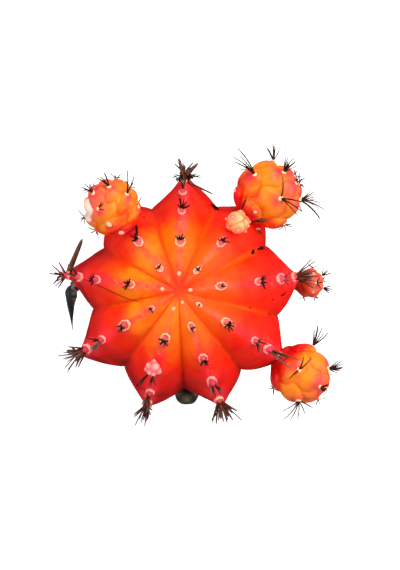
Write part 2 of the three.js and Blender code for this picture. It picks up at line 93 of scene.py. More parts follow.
def node(tree, kind, sockets, **settings):
    """A new shader node with its settings, its sockets linked or set."""
    made = tree.nodes.new("ShaderNode" + kind)
    for name, value in settings.items():
        setattr(made, name, value)
    for name, value in sockets.items():
        if isinstance(value, bpy.types.NodeSocket):
            tree.links.new(value, made.inputs[name])
        else:
            made.inputs[name].default_value = value
    return made


def mixed(tree, share, first, second, kind="MIX"):
    """Two colours mixed by a share."""
    sockets = {0: share, 6: first, 7: second}
    return node(tree, "Mix", sockets, data_type="RGBA", blend_type=kind).outputs[2]


def graded(tree, value, low, high, first=0.0, last=1.0):
    """A value turned smoothly from first to last between low and high."""
    sockets = {"Value": value, "From Min": low, "From Max": high, "To Min": first, "To Max": last}
    made = node(tree, "MapRange", sockets, interpolation_type="SMOOTHSTEP")
    return made.outputs["Result"]


def maths(tree, operation, first, second):
    """Two values put through one operation."""
    return node(tree, "Math", {0: first, 1: second}, operation=operation).outputs[0]


def ramp(tree, value, stops):
    """A colour band from (place, hex colour) stops, read at a value."""
    made = node(tree, "ValToRGB", {"Fac": value})
    band = made.color_ramp.elements
    band[0].position = stops[0][0]
    band[-1].position = stops[-1][0]
    for place, _ in stops[1:-1]:
        band.new(place)
    for stop, (_, code) in zip(band, stops):
        stop.color = linear(code)
    return made.outputs["Color"]


def grains(tree, scale, detail=2.0, rough=0.5):
    """Cloudy noise on the piece's own coordinates, at a scale per metre."""
    where = node(tree, "TexCoord", {}).outputs["Object"]
    sockets = {"Vector": where, "Scale": scale, "Detail": detail, "Roughness": rough}
    return node(tree, "TexNoise", sockets).outputs["Fac"]


def place_along(tree, axis):
    """How far out a point of the piece lies along X, Y or Z, in metres."""
    where = node(tree, "TexCoord", {}).outputs["Object"]
    return node(tree, "SeparateXYZ", {0: where}).outputs[axis]


def kept(tree, name):
    """A number kept at the points of the piece."""
    return node(tree, "Attribute", {}, attribute_name=name).outputs["Fac"]


def finish(name, roughness, **constants):
    """A new material, its tree and its shader, with the shader's plain numbers set."""
    made = bpy.data.materials.new(name)
    made.use_nodes = True
    tree = made.node_tree
    shader = tree.nodes["Principled BSDF"]
    shader.inputs["Roughness"].default_value = roughness
    for socket, value in constants.items():
        shader.inputs[socket.replace("_", " ")].default_value = value
    return made, tree, shader


def relief(tree, shader, height, depth):
    """Bump in millimetres from a height between 0 and 1."""
    sockets = {"Height": height, "Distance": depth * MM}
    tree.links.new(node(tree, "Bump", sockets).outputs["Normal"], shader.inputs["Normal"])


def effect(name, inputs, outputs):
    """A shared node group of plain values, with its own input and output nodes."""
    tree = bpy.data.node_groups.new(name, "ShaderNodeTree")
    for label, value in inputs.items():
        socket = tree.interface.new_socket(label, in_out="INPUT", socket_type="NodeSocketFloat")
        socket.default_value = value
    for label in outputs:
        tree.interface.new_socket(label, in_out="OUTPUT", socket_type="NodeSocketFloat")
    return tree, tree.nodes.new("NodeGroupInput"), tree.nodes.new("NodeGroupOutput")


def placed(tree, group, sockets):
    """A shared effect placed in a material with its own values."""
    made = tree.nodes.new("ShaderNodeGroup")
    made.node_tree = group
    for label, value in sockets.items():
        made.inputs[label].default_value = value
    return made.outputs


def dust_effect():
    """Fine dust and dried water marks, in a mask from 0 to 1."""
    tree, given, result = effect("dust_and_marks", {"Cover": 0.5, "Size": 300}, ["Mask"])
    patches = grains(tree, given.outputs["Size"], detail=5, rough=0.7)
    fine = grains(tree, 4200, detail=3)
    both = maths(tree, "MULTIPLY", patches, fine)
    edge = maths(tree, "SUBTRACT", 0.5, given.outputs["Cover"])
    mask = graded(tree, maths(tree, "SUBTRACT", both, edge), 0.0, 0.25)
    tree.links.new(mask, result.inputs["Mask"])
    return tree


dust = dust_effect()


def pot_finish():
    """Black polypropylene with a moulded grain, dust below and a dried tide mark on the rim."""
    made, tree, shader = finish("pot_plastic", 0.4, Specular_IOR_Level=0.45)
    height = place_along(tree, "Z")
    marks = placed(tree, dust, {"Cover": 0.3, "Size": 260})["Mask"]
    foot = graded(tree, height, *DUSTY_FOOT, 0.45, 0.08)
    rim = graded(tree, height, *TIDE_MARK, 0.0, 0.4)
    soiled = maths(tree, "MULTIPLY", marks, maths(tree, "ADD", foot, rim))
    black = ramp(tree, grains(tree, 90, detail=3), POT_BLACKS)
    tree.links.new(mixed(tree, soiled, black, linear(DRIED_DUST)), shader.inputs["Base Color"])
    worn = graded(tree, grains(tree, 700, detail=4), 0.35, 0.7, 0.34, 0.5)
    tree.links.new(maths(tree, "ADD", worn, soiled), shader.inputs["Roughness"])
    relief(tree, shader, grains(tree, 3600, detail=2), 0.06)
    return made


def in_scene(bm, name):
    """A new object in the scene that takes over a mesh as it is being made."""
    mesh = bpy.data.meshes.new(name)
    bm.to_mesh(mesh)
    bm.free()
    made = bpy.data.objects.new(name, mesh)
    scene.collection.objects.link(made)
    return made


def finished(bm, name, material, slot, *nodes):
    """A mesh in millimetres made a piece in metres that rides with the plant and stands for CAD nodes."""
    bmesh.ops.scale(bm, vec=(MM, MM, MM), verts=bm.verts)
    piece = in_scene(bm, name)
    piece.data.shade_smooth()
    piece.data.materials.append(material)
    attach(piece, "root")
    if nodes:
        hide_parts(*nodes)
    return piece


def inner_radius(height):
    """The radius of the pot's inside at a height."""
    share = (height - FLOOR_TOP) / (POT_HEIGHT - FLOOR_TOP)
    return BASE_RADIUS - WALL + (RIM_RADIUS - RIM_THICKNESS - BASE_RADIUS + WALL) * share


def turned(outline, steps):
    """A solid spun round the upright axis from (radius, height) points that start and end on it."""
    bm = bmesh.new()
    corners = [bm.verts.new((radius, 0, height)) for radius, height in outline]
    sides = [bm.edges.new(pair) for pair in zip(corners, corners[1:])]
    bmesh.ops.spin(
        bm, geom=corners + sides, cent=(0, 0, 0), axis=(0, 0, 1), angle=2 * math.pi, steps=steps,
        use_merge=True,
    )
    bmesh.ops.remove_doubles(bm, verts=bm.verts, dist=0.001)
    bmesh.ops.recalc_face_normals(bm, faces=bm.faces)
    return bm


def pot_form():
    """The pot's wall, rim, foot and floor with its corners rounded, before it is drilled."""
    band_foot = POT_HEIGHT - RIM_BAND
    wall_top = inner_radius(band_foot) + WALL
    rim_inner = RIM_RADIUS - RIM_THICKNESS
    ledge = FLOOR_TOP + LEDGE_SHARE * (POT_HEIGHT - FLOOR_TOP)
    bm = turned(
        [
            (0, 0),
            (HUB_RADIUS, 0),
            (HUB_RADIUS + HUB_SLOPE, UNDERSIDE_LIFT),
            (BASE_RADIUS - FOOT_RING - MOULD_EDGE, UNDERSIDE_LIFT),
            (BASE_RADIUS - FOOT_RING, 0),
            (BASE_RADIUS, 0),
            (wall_top, band_foot - MOULD_EDGE),
            (RIM_RADIUS - MOULD_EDGE, band_foot),
            (RIM_RADIUS, POT_HEIGHT - MOULD_EDGE),
            (RIM_RADIUS - MOULD_EDGE / 2, POT_HEIGHT),
            (rim_inner + MOULD_EDGE / 2, POT_HEIGHT),
            (rim_inner, POT_HEIGHT - MOULD_EDGE),
            (inner_radius(ledge) + LEDGE, ledge + LEDGE),
            (inner_radius(ledge), ledge - LEDGE),
            (inner_radius(FLOOR_TOP), FLOOR_TOP),
            (0, FLOOR_TOP),
        ],
        POT_STEPS,
    )
    sharp = [edge for edge in bm.edges if edge.calc_face_angle(0) > SHARP_CORNER]
    bmesh.ops.bevel(
        bm, geom=sharp, offset=MOULD_ROUNDING, segments=3, profile=0.5, affect="EDGES", material=-1
    )
    return bm


def drill(piece):
    """Cuts the drain holes through the pot's raised floor."""
    bm = bmesh.new()
    for drain in range(DRAINS):
        turn = Matrix.Rotation((drain + 0.5) / DRAINS * 2 * math.pi, 4, "Z")
        place = turn @ Matrix.Translation((DRAIN_CIRCLE * MM, 0, FLOOR_TOP / 2 * MM))
        bmesh.ops.create_cone(
            bm, cap_ends=True, segments=DRAIN_SIDES, radius1=DRAIN_RADIUS * MM, radius2=DRAIN_RADIUS * MM,
            depth=2 * FLOOR_TOP * MM, matrix=place,
        )
    drills = in_scene(bm, "drills")
    cut = piece.modifiers.new("drains", "BOOLEAN")
    cut.operation = "DIFFERENCE"
    cut.object = drills
    whole = bpy.data.meshes.new_from_object(piece.evaluated_get(bpy.context.evaluated_depsgraph_get()))
    piece.modifiers.clear()
    piece.data = whole
    bpy.data.objects.remove(drills)


pot = finished(pot_form(), "nursery_pot", pot_finish(), "pot_plastic", "pot")
drill(pot)

# Soil
# A loose potting mix of peat crumbs, bark chips, grey grit and a few white grains of perlite, heaped
# level inside the pot a little below its rim, and settled round the foot of the rootstock.
SOIL_TOP = 44
SOIL_RELIEF = 0.55
CLEARANCE = 0.3
SOIL_COLUMNS = 96
SOIL_RINGS = 60
# The share of the rings that makes the top. The others run down the wall to the floor.
TOP_SHARE = 0.8
SOIL_GRAIN = 1.6
SOIL_GRAIN_HEIGHT = 0.35
CHIP_ROUGHNESS = 0.28
CHIP_WAVES = 2.1
SOIL_TONES = [(0.0, "1E130C"), (0.15, "33221A"), (0.42, "5F3D25"), (0.65, "8A8279"), (1.0, "E9E4DA")]
# How many of each kind, their size, how flat they are, and their tone from dark peat to white perlite.
MIX = [
    (260, 0.9, 0.8, 0.1),
    (90, 1.5, 0.35, 0.42),
    (60, 0.8, 0.8, 0.65),
    (34, 0.9, 0.9, 1.0),
]
soil_edge = inner_radius(SOIL_TOP) - CLEARANCE


def form(*marks):
    """An empty mesh that keeps a number of each name at every point."""
    bm = bmesh.new()
    for mark in marks:
        bm.verts.layers.float.new(mark)
    return bm


def grow(bm, columns, rings, *places):
    """Adds a closed ball of rings for each of places, which take how far down each point is and how far
    round, both from 0 to 1, and give where it goes and the numbers that are kept there."""
    made = list(bmesh.ops.create_uvsphere(bm, u_segments=columns, v_segments=rings, radius=1)["verts"])
    ball = np.array([vert.co for vert in made])
    down = np.round(np.arccos(np.clip(ball[:, 2], -1, 1)) / math.pi * rings) / rings
    turn = np.arctan2(ball[:, 1], ball[:, 0]) / (2 * math.pi)
    around = np.round(turn * columns) % columns / columns
    while len(made) < len(places) * len(down):
        again = made[: len(places) * len(down) - len(made)]
        faces = dict.fromkeys(face for vert in again for face in vert.link_faces)
        copied = bmesh.ops.duplicate(bm, geom=again + list(faces))["vert_map"]
        made += [copied[vert] for vert in again]
    for number, place in enumerate(places):
        mine = made[number * len(down) : (number + 1) * len(down)]
        points, marks = place(down, around)
        for vert, point in zip(mine, points):
            vert.co = point
        for name, values in marks.items():
            layer = bm.verts.layers.float[name]
            for vert, value in zip(mine, np.broadcast_to(values, len(mine))):
                vert[layer] = value


def at_bearing(radius, degrees, height):
    """Points at a distance from the upright axis, on a bearing from +X, at a height."""
    angle = np.radians(degrees)
    parts = np.broadcast_arrays(radius * np.cos(angle), radius * np.sin(angle), height)
    return np.stack(parts, axis=-1).astype(float)


def cloud(points, size, seed):
    """Smooth noise from -1 to 1 at points, whose features are about size across."""
    shift = Vector((17.3 * seed, 5.1 * seed, 31.7 * seed))
    return np.array([noise.noise(Vector(point) / size + shift) for point in points])


def soil_height(radius, degrees):
    """The uneven top of the soil, level in the middle and at the wall."""
    angle = np.radians(degrees)
    rough = np.sin(5 * angle + radius * 0.55) + np.cos(3 * angle - radius * 0.8)
    inward = 4 * radius * (soil_edge - radius) / soil_edge**2
    return SOIL_TOP - SOIL_RELIEF + SOIL_RELIEF * rough * inward


def soil_body(down, around):
    """The settled mass of the mix, from its top at the axis out to the wall and down to the floor."""
    out = np.minimum(down / TOP_SHARE, 1)
    sunk = np.clip((down - TOP_SHARE) / (1 - TOP_SHARE), 0, 1)
    foot = inner_radius(FLOOR_TOP) - CLEARANCE
    outer = np.where(sunk > 0, soil_edge + (foot - soil_edge) * sunk, soil_edge * out)
    radius = np.where(down == 1, 0, outer)
    top = soil_height(soil_edge * out, around * 360)
    points = at_bearing(radius, around * 360, top + (FLOOR_TOP + CLEARANCE - top) * sunk)
    rough = SOIL_GRAIN_HEIGHT * cloud(points, SOIL_GRAIN, 3) * (sunk == 0)
    return points + np.outer(rough, [0, 0, 1]), {"tone": 0.1}


def roughen(verts, waves, depth):
    """Pushes the points of a crumb aside by smooth noise."""
    for vert in verts:
        vert.co += noise.noise_vector(vert.co * waves) * depth


def crumbs(bm, roll):
    """The loose pieces that lie on top, half sunk, each with its own shape and tone."""
    tone = bm.verts.layers.float["tone"]
    for count, size, flat, shade in MIX:
        for _ in range(count):
            radius = soil_edge * math.sqrt(roll.uniform(0.1, 0.9))
            bearing = roll.uniform(0, 360)
            scale = size * roll.uniform(0.5, 1.2)
            at = at_bearing(radius, bearing, soil_height(radius, bearing) + 0.2 * scale)
            tilt = Matrix.Rotation(roll.gauss(0, 0.35), 4, "X") @ Matrix.Rotation(roll.uniform(0, 7), 4, "Z")
            shape = Matrix.Diagonal((scale, scale * roll.uniform(0.55, 0.9), scale * flat, 1))
            place = Matrix.Translation(at) @ tilt @ shape
            chip = bmesh.ops.create_icosphere(bm, subdivisions=1, radius=1, matrix=place)["verts"]
            roughen(chip, CHIP_WAVES, CHIP_ROUGHNESS * scale)
            for vert in chip:
                vert[tone] = shade


def soil_finish():
    """Dark peat to white perlite by the tone of each crumb."""
    made, tree, shader = finish("potting_mix", 0.95, Specular_IOR_Level=0.2)
    speckle = grains(tree, 2600, detail=4, rough=0.7)
    tone = maths(tree, "ADD", kept(tree, "tone"), graded(tree, speckle, 0.3, 0.7, -0.08, 0.08))
    tree.links.new(ramp(tree, tone, SOIL_TONES), shader.inputs["Base Color"])
    relief(tree, shader, speckle, 0.25)
    return made


# Without a seed of its own, noise_vector takes one from the clock.
noise.seed_set(9)
soil = form("tone")
grow(soil, SOIL_COLUMNS, SOIL_RINGS, soil_body)
crumbs(soil, random.Random(5))
finished(soil, "potting_soil", soil_finish(), "soil", "soil")

# Rootstock
# The plant that feeds the head: a length of three-winged green climbing cactus stem, rooted in the pot,
# with a corky line and small spined areoles along its wings, its shoulders pared off round the graft.
STOCK_FOOT = 20
GRAFT_HEIGHT = 87
GRAFT = np.array([0.0, 0.0, GRAFT_HEIGHT])
WINGS = 3
WING_RADIUS = 14.5
FURROW_RADIUS = 8.4
WING_BEARING = 32
WING_BLUNTNESS = 0.1
WING_HOLLOW = 1.6
WING_SCALLOP = 0.045
STOCK_TWIST = 10
STOCK_PITCH = 14
FIRST_STOCK_AREOLE = 52
CUT_RADIUS = 11.5
# Unevenness of the stem as a share of its radius, and how large it is in millimetres.
STEM_WAVER = 0.012
STEM_WAVE = 5
STOCK_COLUMNS = 144
STOCK_RINGS = 112
# The share of the rings at each end that closes the stem.
END_SHARE = 0.03
STOCK_GREENS = [(0.3, "3F6B2B"), (0.52, "5B8A3A"), (0.75, "82A653")]
CORK = "8E7B55"
DRY_CUT = "B3A070"
# Heights in metres over which the corky foot ends.
CORKY_FOOT = (0.032, 0.044)


def ease(low, high, value):
    """A smooth step from 0 to 1."""
    share = np.clip((value - low) / (high - low), 0, 1)
    return share * share * (3 - 2 * share)


def unit(vector):
    """The same way, one long."""
    return np.asarray(vector, float) / np.linalg.norm(vector)


def grain_effect():
    """The waxy skin of a cactus: fine pores in height, and soft patches for its colour."""
    tree, given, result = effect("skin_grain", {"Pores": 2400, "Patches": 110}, ["Height", "Patch"])
    pores = grains(tree, given.outputs["Pores"], detail=3, rough=0.6)
    folds = grains(tree, maths(tree, "MULTIPLY", given.outputs["Pores"], 0.22), detail=2)
    tree.links.new(maths(tree, "ADD", maths(tree, "MULTIPLY", pores, 0.4), folds), result.inputs["Height"])
    tree.links.new(grains(tree, given.outputs["Patches"], detail=4, rough=0.6), result.inputs["Patch"])
    return tree


skin_grain = grain_effect()


def wing_section(around, height):
    """The stock's radius, bearing and nearness to a wing's edge, a third of a turn apart."""
    twist = STOCK_TWIST * (height - STOCK_FOOT) / (GRAFT_HEIGHT - STOCK_FOOT)
    sector = np.asarray(around) * WINGS
    off_wing = np.minimum(1, 2 * np.abs(sector - np.round(sector)))
    flank = np.maximum(0, (off_wing - WING_BLUNTNESS) / (1 - WING_BLUNTNESS))
    wave = np.cos(2 * math.pi * (height - FIRST_STOCK_AREOLE) / STOCK_PITCH)
    wing = WING_RADIUS * (1 - WING_SCALLOP * (0.5 + 0.5 * wave))
    radius = FURROW_RADIUS + (wing - FURROW_RADIUS) * (1 - flank) ** WING_HOLLOW
    return radius, np.asarray(around) * 360 + WING_BEARING + twist, 1 - off_wing


def stock_body(down, around):
    """The stem from its flat cut top, pared off round it, to its foot in the soil."""
    run = np.clip((down - END_SHARE) / (1 - 2 * END_SHARE), 0, 1)
    height = GRAFT_HEIGHT - (GRAFT_HEIGHT - STOCK_FOOT) * run
    radius, bearing, edge = wing_section(around, height)
    pared = np.minimum(radius, CUT_RADIUS + GRAFT_HEIGHT - height)
    closed = np.where((down == 0) | (down == 1), 0, pared)
    points = at_bearing(closed, bearing, height)
    points[:, :2] *= 1 + STEM_WAVER * cloud(points, STEM_WAVE, 8)[:, None]
    return points, {"edge": edge, "pared": ease(0, 1.2, radius - closed)}


def stock_finish():
    """Green waxy skin, a tan corky line on the wings and round the foot, and a dry buff cut."""
    made, tree, shader = finish("rootstock_skin", 0.42, Specular_IOR_Level=0.5)
    skin = placed(tree, skin_grain, {"Pores": 1900, "Patches": 130})
    green = ramp(tree, skin["Patch"], STOCK_GREENS)
    height = place_along(tree, "Z")
    ragged = maths(tree, "MULTIPLY", grains(tree, 520, detail=4), 0.5)
    line = graded(tree, maths(tree, "ADD", kept(tree, "edge"), ragged), 1.14, 1.24)
    soil_line = maths(tree, "SUBTRACT", height, maths(tree, "MULTIPLY", ragged, 0.03))
    foot = graded(tree, soil_line, *CORKY_FOOT, 1, 0)
    corky = mixed(tree, maths(tree, "MAXIMUM", line, foot), green, linear(CORK))
    cut = mixed(tree, kept(tree, "pared"), corky, linear(DRY_CUT))
    tree.links.new(cut, shader.inputs["Base Color"])
    relief(tree, shader, skin["Height"], 0.12)
    return made


stock = form("edge", "pared")
grow(stock, STOCK_COLUMNS, STOCK_RINGS, stock_body)
finished(stock, "rootstock_stem", stock_finish(), "rootstock_skin", "rootstock")

# Graft union
# Where the head was set on the stock, both cut faces healed together behind a thin, dry, buff callus
# that stands proud of the stem all round.
CALLUS_RADIUS = 12.3
CALLUS_THICKNESS = 1.3
CALLUS_BLUNTNESS = 0.35
# How deep its lobes are as a share of its radius, and how many run round it.
CALLUS_LOBES = [(0.025, 5), (0.015, 13)]
CALLUS_COLUMNS = 96
CALLUS_RINGS = 12
CALLUS_TONES = [(0.3, "8A6A40"), (0.7, "C9AE7A")]


def callus_body(down, around):
    """A thin uneven rim of healed tissue round the graft."""
    polar = down * math.pi
    lobed = 1 + sum(depth * np.sin(around * 2 * math.pi * count) for depth, count in CALLUS_LOBES)
    outer = CALLUS_RADIUS * lobed * np.sin(polar) ** CALLUS_BLUNTNESS
    radius = np.where((down == 0) | (down == 1), 0, outer)
    return at_bearing(radius, around * 360, GRAFT_HEIGHT + CALLUS_THICKNESS * np.cos(polar)), {}


def callus_finish():
    """Dry healed tissue."""
    made, tree, shader = finish("callus", 0.8, Specular_IOR_Level=0.3)
    patch = grains(tree, 600, detail=5, rough=0.7)
    tree.links.new(ramp(tree, patch, CALLUS_TONES), shader.inputs["Base Color"])
    relief(tree, shader, patch, 0.3)
    return made


callus = form()
grow(callus, CALLUS_COLUMNS, CALLUS_RINGS, callus_body)
finished(callus, "graft_callus", callus_finish(), "rootstock_skin")

# Head
# The grafted scion, a mutant without green in it: a flattened globe of waxy red-orange flesh with nine
# sharp ribs, deep creased furrows, and swellings along each rib where its areoles sit.
HEAD_RADIUS = 33.5
DOME_HEIGHT = 27
UNDERSIDE_HEIGHT = 15
GRAFT_RADIUS = 12
FOOT_RIB_SHARE = 0.33
CROWN_DIMPLE = 1.4
DIMPLE_RADIUS = 5
NOTCH_DEPTH = 0.9
RIDGE_BLUNTNESS = 0.12
CROWN_RIB_FULLNESS = 1.9
CROWN_RIB_FADE = 1.25
CREASE_DEPTH = 0.14
CREASE_WIDTH = 0.05
AREOLE_SWELLING = 0.4
SWELLING_WIDTH = 2.4
LINE_POINTS = 500
COLUMNS_PER_RIB = 38
HEAD_RINGS = 180
# How much closer together the columns are drawn towards a ridge.
DRAWN = 1.3
# Unevenness of the flesh: its height, its size and its seed. It fades out over the crown.
HEAD_WAVES = [(0.35, 9, 1), (0.12, 3, 2)]
STEADY_CROWN = 8
# Each rib's bearing in degrees from +X, its widest radius, how full its flank is on the clockwise side
# and on the other, and the bearing and widest radius of the furrow after it, anticlockwise from above.
RIBS = np.array(
    [
        (7, 33.0, 1.15, 0.75, 28, 27.5),
        (49, 33.2, 1.0, 0.5, 66.5, 26.0),
        (88, 32.8, 0.72, 0.52, 109, 24.7),
        (129, 31, 0.75, 0.7, 150.5, 24.7),
        (172, 33.0, 0.7, 0.48, 191.5, 25.2),
        (212, 33.5, 0.6, 0.95, 233.5, 26.6),
        (254, 33.3, 0.85, 1.1, 272.5, 27.2),
        (290, 34.2, 0.85, 0.9, 308, 28.2),
        (327, 33.8, 1.4, 0.95, 346, 28.6),
    ]
)
# How far down each rib from the crown its areoles sit.
AREOLES = [
    (3.2, 11.6, 23, 31.6, 39.5, 47.5, 55),
    (7.5, 17.9, 27.7, 37.7, 46, 54),
    (4.9, 13.7, 23.1, 30.4, 37, 45, 53),
    (8.6, 19, 28.5, 37, 45.5, 54),
    (4.4, 13.3, 24, 31, 37.8, 46, 54),
    (8.4, 17.5, 26.2, 34.1, 41.5, 49.5),
    (4.8, 13.4, 23.8, 32.4, 38.8, 47, 55),
    (3, 9.9, 19.2, 27.6, 36.6, 45, 53.5),
    (6.4, 15.4, 25.8, 32.2, 40.5, 46.2, 54),
]
PITCH_BEYOND = 9
# Tones of the flanks, ridges and furrows by half the reach, which is 0 at the crown, 0.5 where the head is
# widest and 1 at the graft. Their darkening to crimson past about 0.42 is partly the flesh's own red and
# partly painted shade on the steep rib ends and the underside. The ridges' paler pink is partly their own
# pink and partly a painted sheen, and the furrow tones are darker as painted shade in the creases.
FLANK_TONES_WITH_RIM_SHADE = [
    (0.0, "FA340C"), (0.05, "FC440C"), (0.1, "FD5208"), (0.17, "FE6204"), (0.22, "FE6204"),
    (0.27, "FE4C04"), (0.32, "FC3A06"), (0.37, "FA2C08"), (0.42, "F0200C"), (0.46, "D2140C"),
    (0.5, "B40C0A"), (0.6, "9A0A0A"), (1.0, "7C1208"),
]
RIDGE_PINK_AND_SHEEN_TONES = [
    (0.0, "FC4420"), (0.04, "FD5E30"), (0.12, "FD683C"), (0.19, "FC663C"), (0.24, "FA4A34"),
    (0.29, "FC2C28"), (0.36, "FA262C"), (0.43, "F42C38"), (0.48, "E02C3C"), (0.55, "B81018"),
    (1.0, "7C1208"),
]
FURROW_SHADE_TONES = [
    (0.0, "FA380A"), (0.1, "FC4602"), (0.2, "FC5202"), (0.29, "FB4E02"), (0.35, "F83A02"),
    (0.42, "E82402"), (0.47, "BE1404"), (0.52, "96100A"), (1.0, "6C100A"),
]
RED_FRECKLES = "F82C40"
PALE_FRECKLES = "FF8C5C"
GOLD = "FF8A10"
TANNED = "F81C0C"
DEEP_RED = "EE0E06"
BLUSH = "F8303C"
# Sunlight from one side has tanned the flesh red there, and the golden ring lies off centre: the bearing
# of each, and how much it counts at a rib's end.
SUNNY_BEARING = 5
GOLD_BEARING = 50
SHIFT = 0.11
RIB_COUNT = len(RIBS)
flare = math.acos(GRAFT_RADIUS / HEAD_RADIUS)


def meridian():
    """The head's outline by its length from the crown to the graft: share, radius and height, and the
    share at its widest."""
    over = np.linspace(0, math.pi / 2, LINE_POINTS)
    under = np.linspace(0, flare, LINE_POINTS // 2)[1:]
    reach = UNDERSIDE_HEIGHT / math.sin(flare)
    radius = HEAD_RADIUS * np.concatenate([np.sin(over), np.cos(under)])
    height = UNDERSIDE_HEIGHT + np.concatenate([DOME_HEIGHT * np.cos(over), -reach * np.sin(under)])
    run = np.concatenate([[0], np.cumsum(np.hypot(np.diff(radius), np.diff(height)))])
    return run / run[-1], radius, height, run[len(over) - 1] / run[-1], run[-1]


line_share, line_radius, line_height, widest_share, meridian_length = meridian()


def on_line(share):
    """The radius and the height of the head's outline at a share of its length."""
    return np.interp(share, line_share, line_radius), np.interp(share, line_share, line_height)


def rib_bearing(coordinate):
    """Bearing in degrees of a rib coordinate, where whole numbers are the ribs."""
    bearings = np.append(RIBS[:, [0, 4]].ravel(), RIBS[0, 0] + 360)
    turns = np.floor(coordinate / RIB_COUNT)
    places = np.arange(2 * RIB_COUNT + 1) / 2
    return np.interp(coordinate - turns * RIB_COUNT, places, bearings) + turns * 360


def areole_count(rib, arc):
    """How many areoles lie above an arc length down a rib, in fractions, and how far off the nearest is."""
    count = np.zeros(np.shape(arc))
    off = np.zeros(np.shape(arc))
    for number, places in enumerate(AREOLES):
        here = rib == number
        ends = np.array([places[0] - PITCH_BEYOND, *places, places[-1] + PITCH_BEYOND])
        found = np.interp(arc, ends, range(-1, len(places) + 1))
        nearest = np.clip(np.round(found), 0, len(places) - 1).astype(int)
        count = np.where(here, found, count)
        off = np.where(here, arc - np.array(places)[nearest], off)
    return count, off


def head_skin(share, coordinate):
    """The head's skin at a share of the meridian and a rib coordinate, with the numbers kept there."""
    share, coordinate = np.broadcast_arrays(np.asarray(share, float), np.asarray(coordinate, float))
    step = 0.002
    radius, height = on_line(share)
    ahead_radius, ahead_height = on_line(share + step)
    back_radius, back_height = on_line(share - step)
    slope = np.hypot(ahead_radius - back_radius, ahead_height - back_height)
    below = share >= widest_share
    out_x = np.where(below, 1, (back_height - ahead_height) / slope)
    out_z = np.where(below, 0, (ahead_radius - back_radius) / slope)
    reach = radius / HEAD_RADIUS
    nearest = np.round(coordinate)
    whole = np.floor(coordinate)
    first_rib = RIBS[whole.astype(int) % RIB_COUNT]
    next_rib = RIBS[(whole.astype(int) + 1) % RIB_COUNT]
    off_ridge = np.minimum(1, 2 * np.abs(coordinate - nearest))
    rounded = np.hypot(off_ridge, RIDGE_BLUNTNESS) - RIDGE_BLUNTNESS
    flank = rounded / (math.hypot(1, RIDGE_BLUNTNESS) - RIDGE_BLUNTNESS)
    side = np.where(coordinate - whole < 0.5, first_rib[..., 3], next_rib[..., 2])
    fullness = CROWN_RIB_FULLNESS + (side - CROWN_RIB_FULLNESS) * ease(0.05, 0.55, share)
    foot_share = (1 - reach) / (1 - GRAFT_RADIUS / HEAD_RADIUS)
    ridge = first_rib[..., 1] + (next_rib[..., 1] - first_rib[..., 1]) * (coordinate - whole)
    deepest = ridge - first_rib[..., 5]
    depth = deepest * np.where(below, 1 + (FOOT_RIB_SHARE - 1) * foot_share, reach**CROWN_RIB_FADE)
    count, along = areole_count(nearest.astype(int) % RIB_COUNT, share * meridian_length)
    between = 0.5 - 0.5 * np.cos(2 * math.pi * count)
    fading = ease(0.12, 0.45, share) * (1 - ease(0.85, 1, share))
    notch = NOTCH_DEPTH * between * fading * (1 - flank) ** 2
    crease = CREASE_DEPTH * np.exp(-(((1 - off_ridge) / CREASE_WIDTH) ** 2)) * ease(0.1, 0.4, share)
    across = off_ridge * radius * math.pi / RIB_COUNT
    near = np.exp(-(along**2 + across**2) / SWELLING_WIDTH**2)
    swelling = AREOLE_SWELLING * near * ease(0.05, 0.3, share) * (1 - ease(0.8, 0.95, share))
    sink = depth * flank**fullness + notch + crease - swelling
    widest = np.where(below, ridge + (HEAD_RADIUS - ridge) * foot_share, ridge)
    placed_radius = np.maximum(0, radius * widest / HEAD_RADIUS - out_x * sink)
    dimple = CROWN_DIMPLE * np.exp(-((radius / DIMPLE_RADIUS) ** 2))
    placed_height = height - out_z * sink - dimple + GRAFT_HEIGHT
    points = at_bearing(placed_radius, rib_bearing(coordinate), placed_height)
    marks = {"off_ridge": off_ridge, "reach": np.where(below, 1 + foot_share, reach), "near": near}
    return points, marks


def head_body(down, around):
    """The head with its points drawn closer together towards the ridges."""
    coordinate = around * RIB_COUNT
    nearest = np.round(coordinate)
    off = 2 * (coordinate - nearest)
    drawn = nearest + 0.5 * np.sign(off) * np.abs(off) ** DRAWN
    share = np.minimum(1, down * HEAD_RINGS / (HEAD_RINGS - 1))
    smooth, marks = head_skin(share, drawn)
    steady = np.minimum(1, np.hypot(smooth[:, 0], smooth[:, 1]) / STEADY_CROWN)
    waves = sum(high * cloud(smooth, size, seed) for high, size, seed in HEAD_WAVES) * steady
    outward = smooth - (GRAFT + [0, 0, UNDERSIDE_HEIGHT])
    points = smooth + outward / np.linalg.norm(outward, axis=1)[:, None] * waves[:, None]
    points[down == 1] = GRAFT
    return points, marks


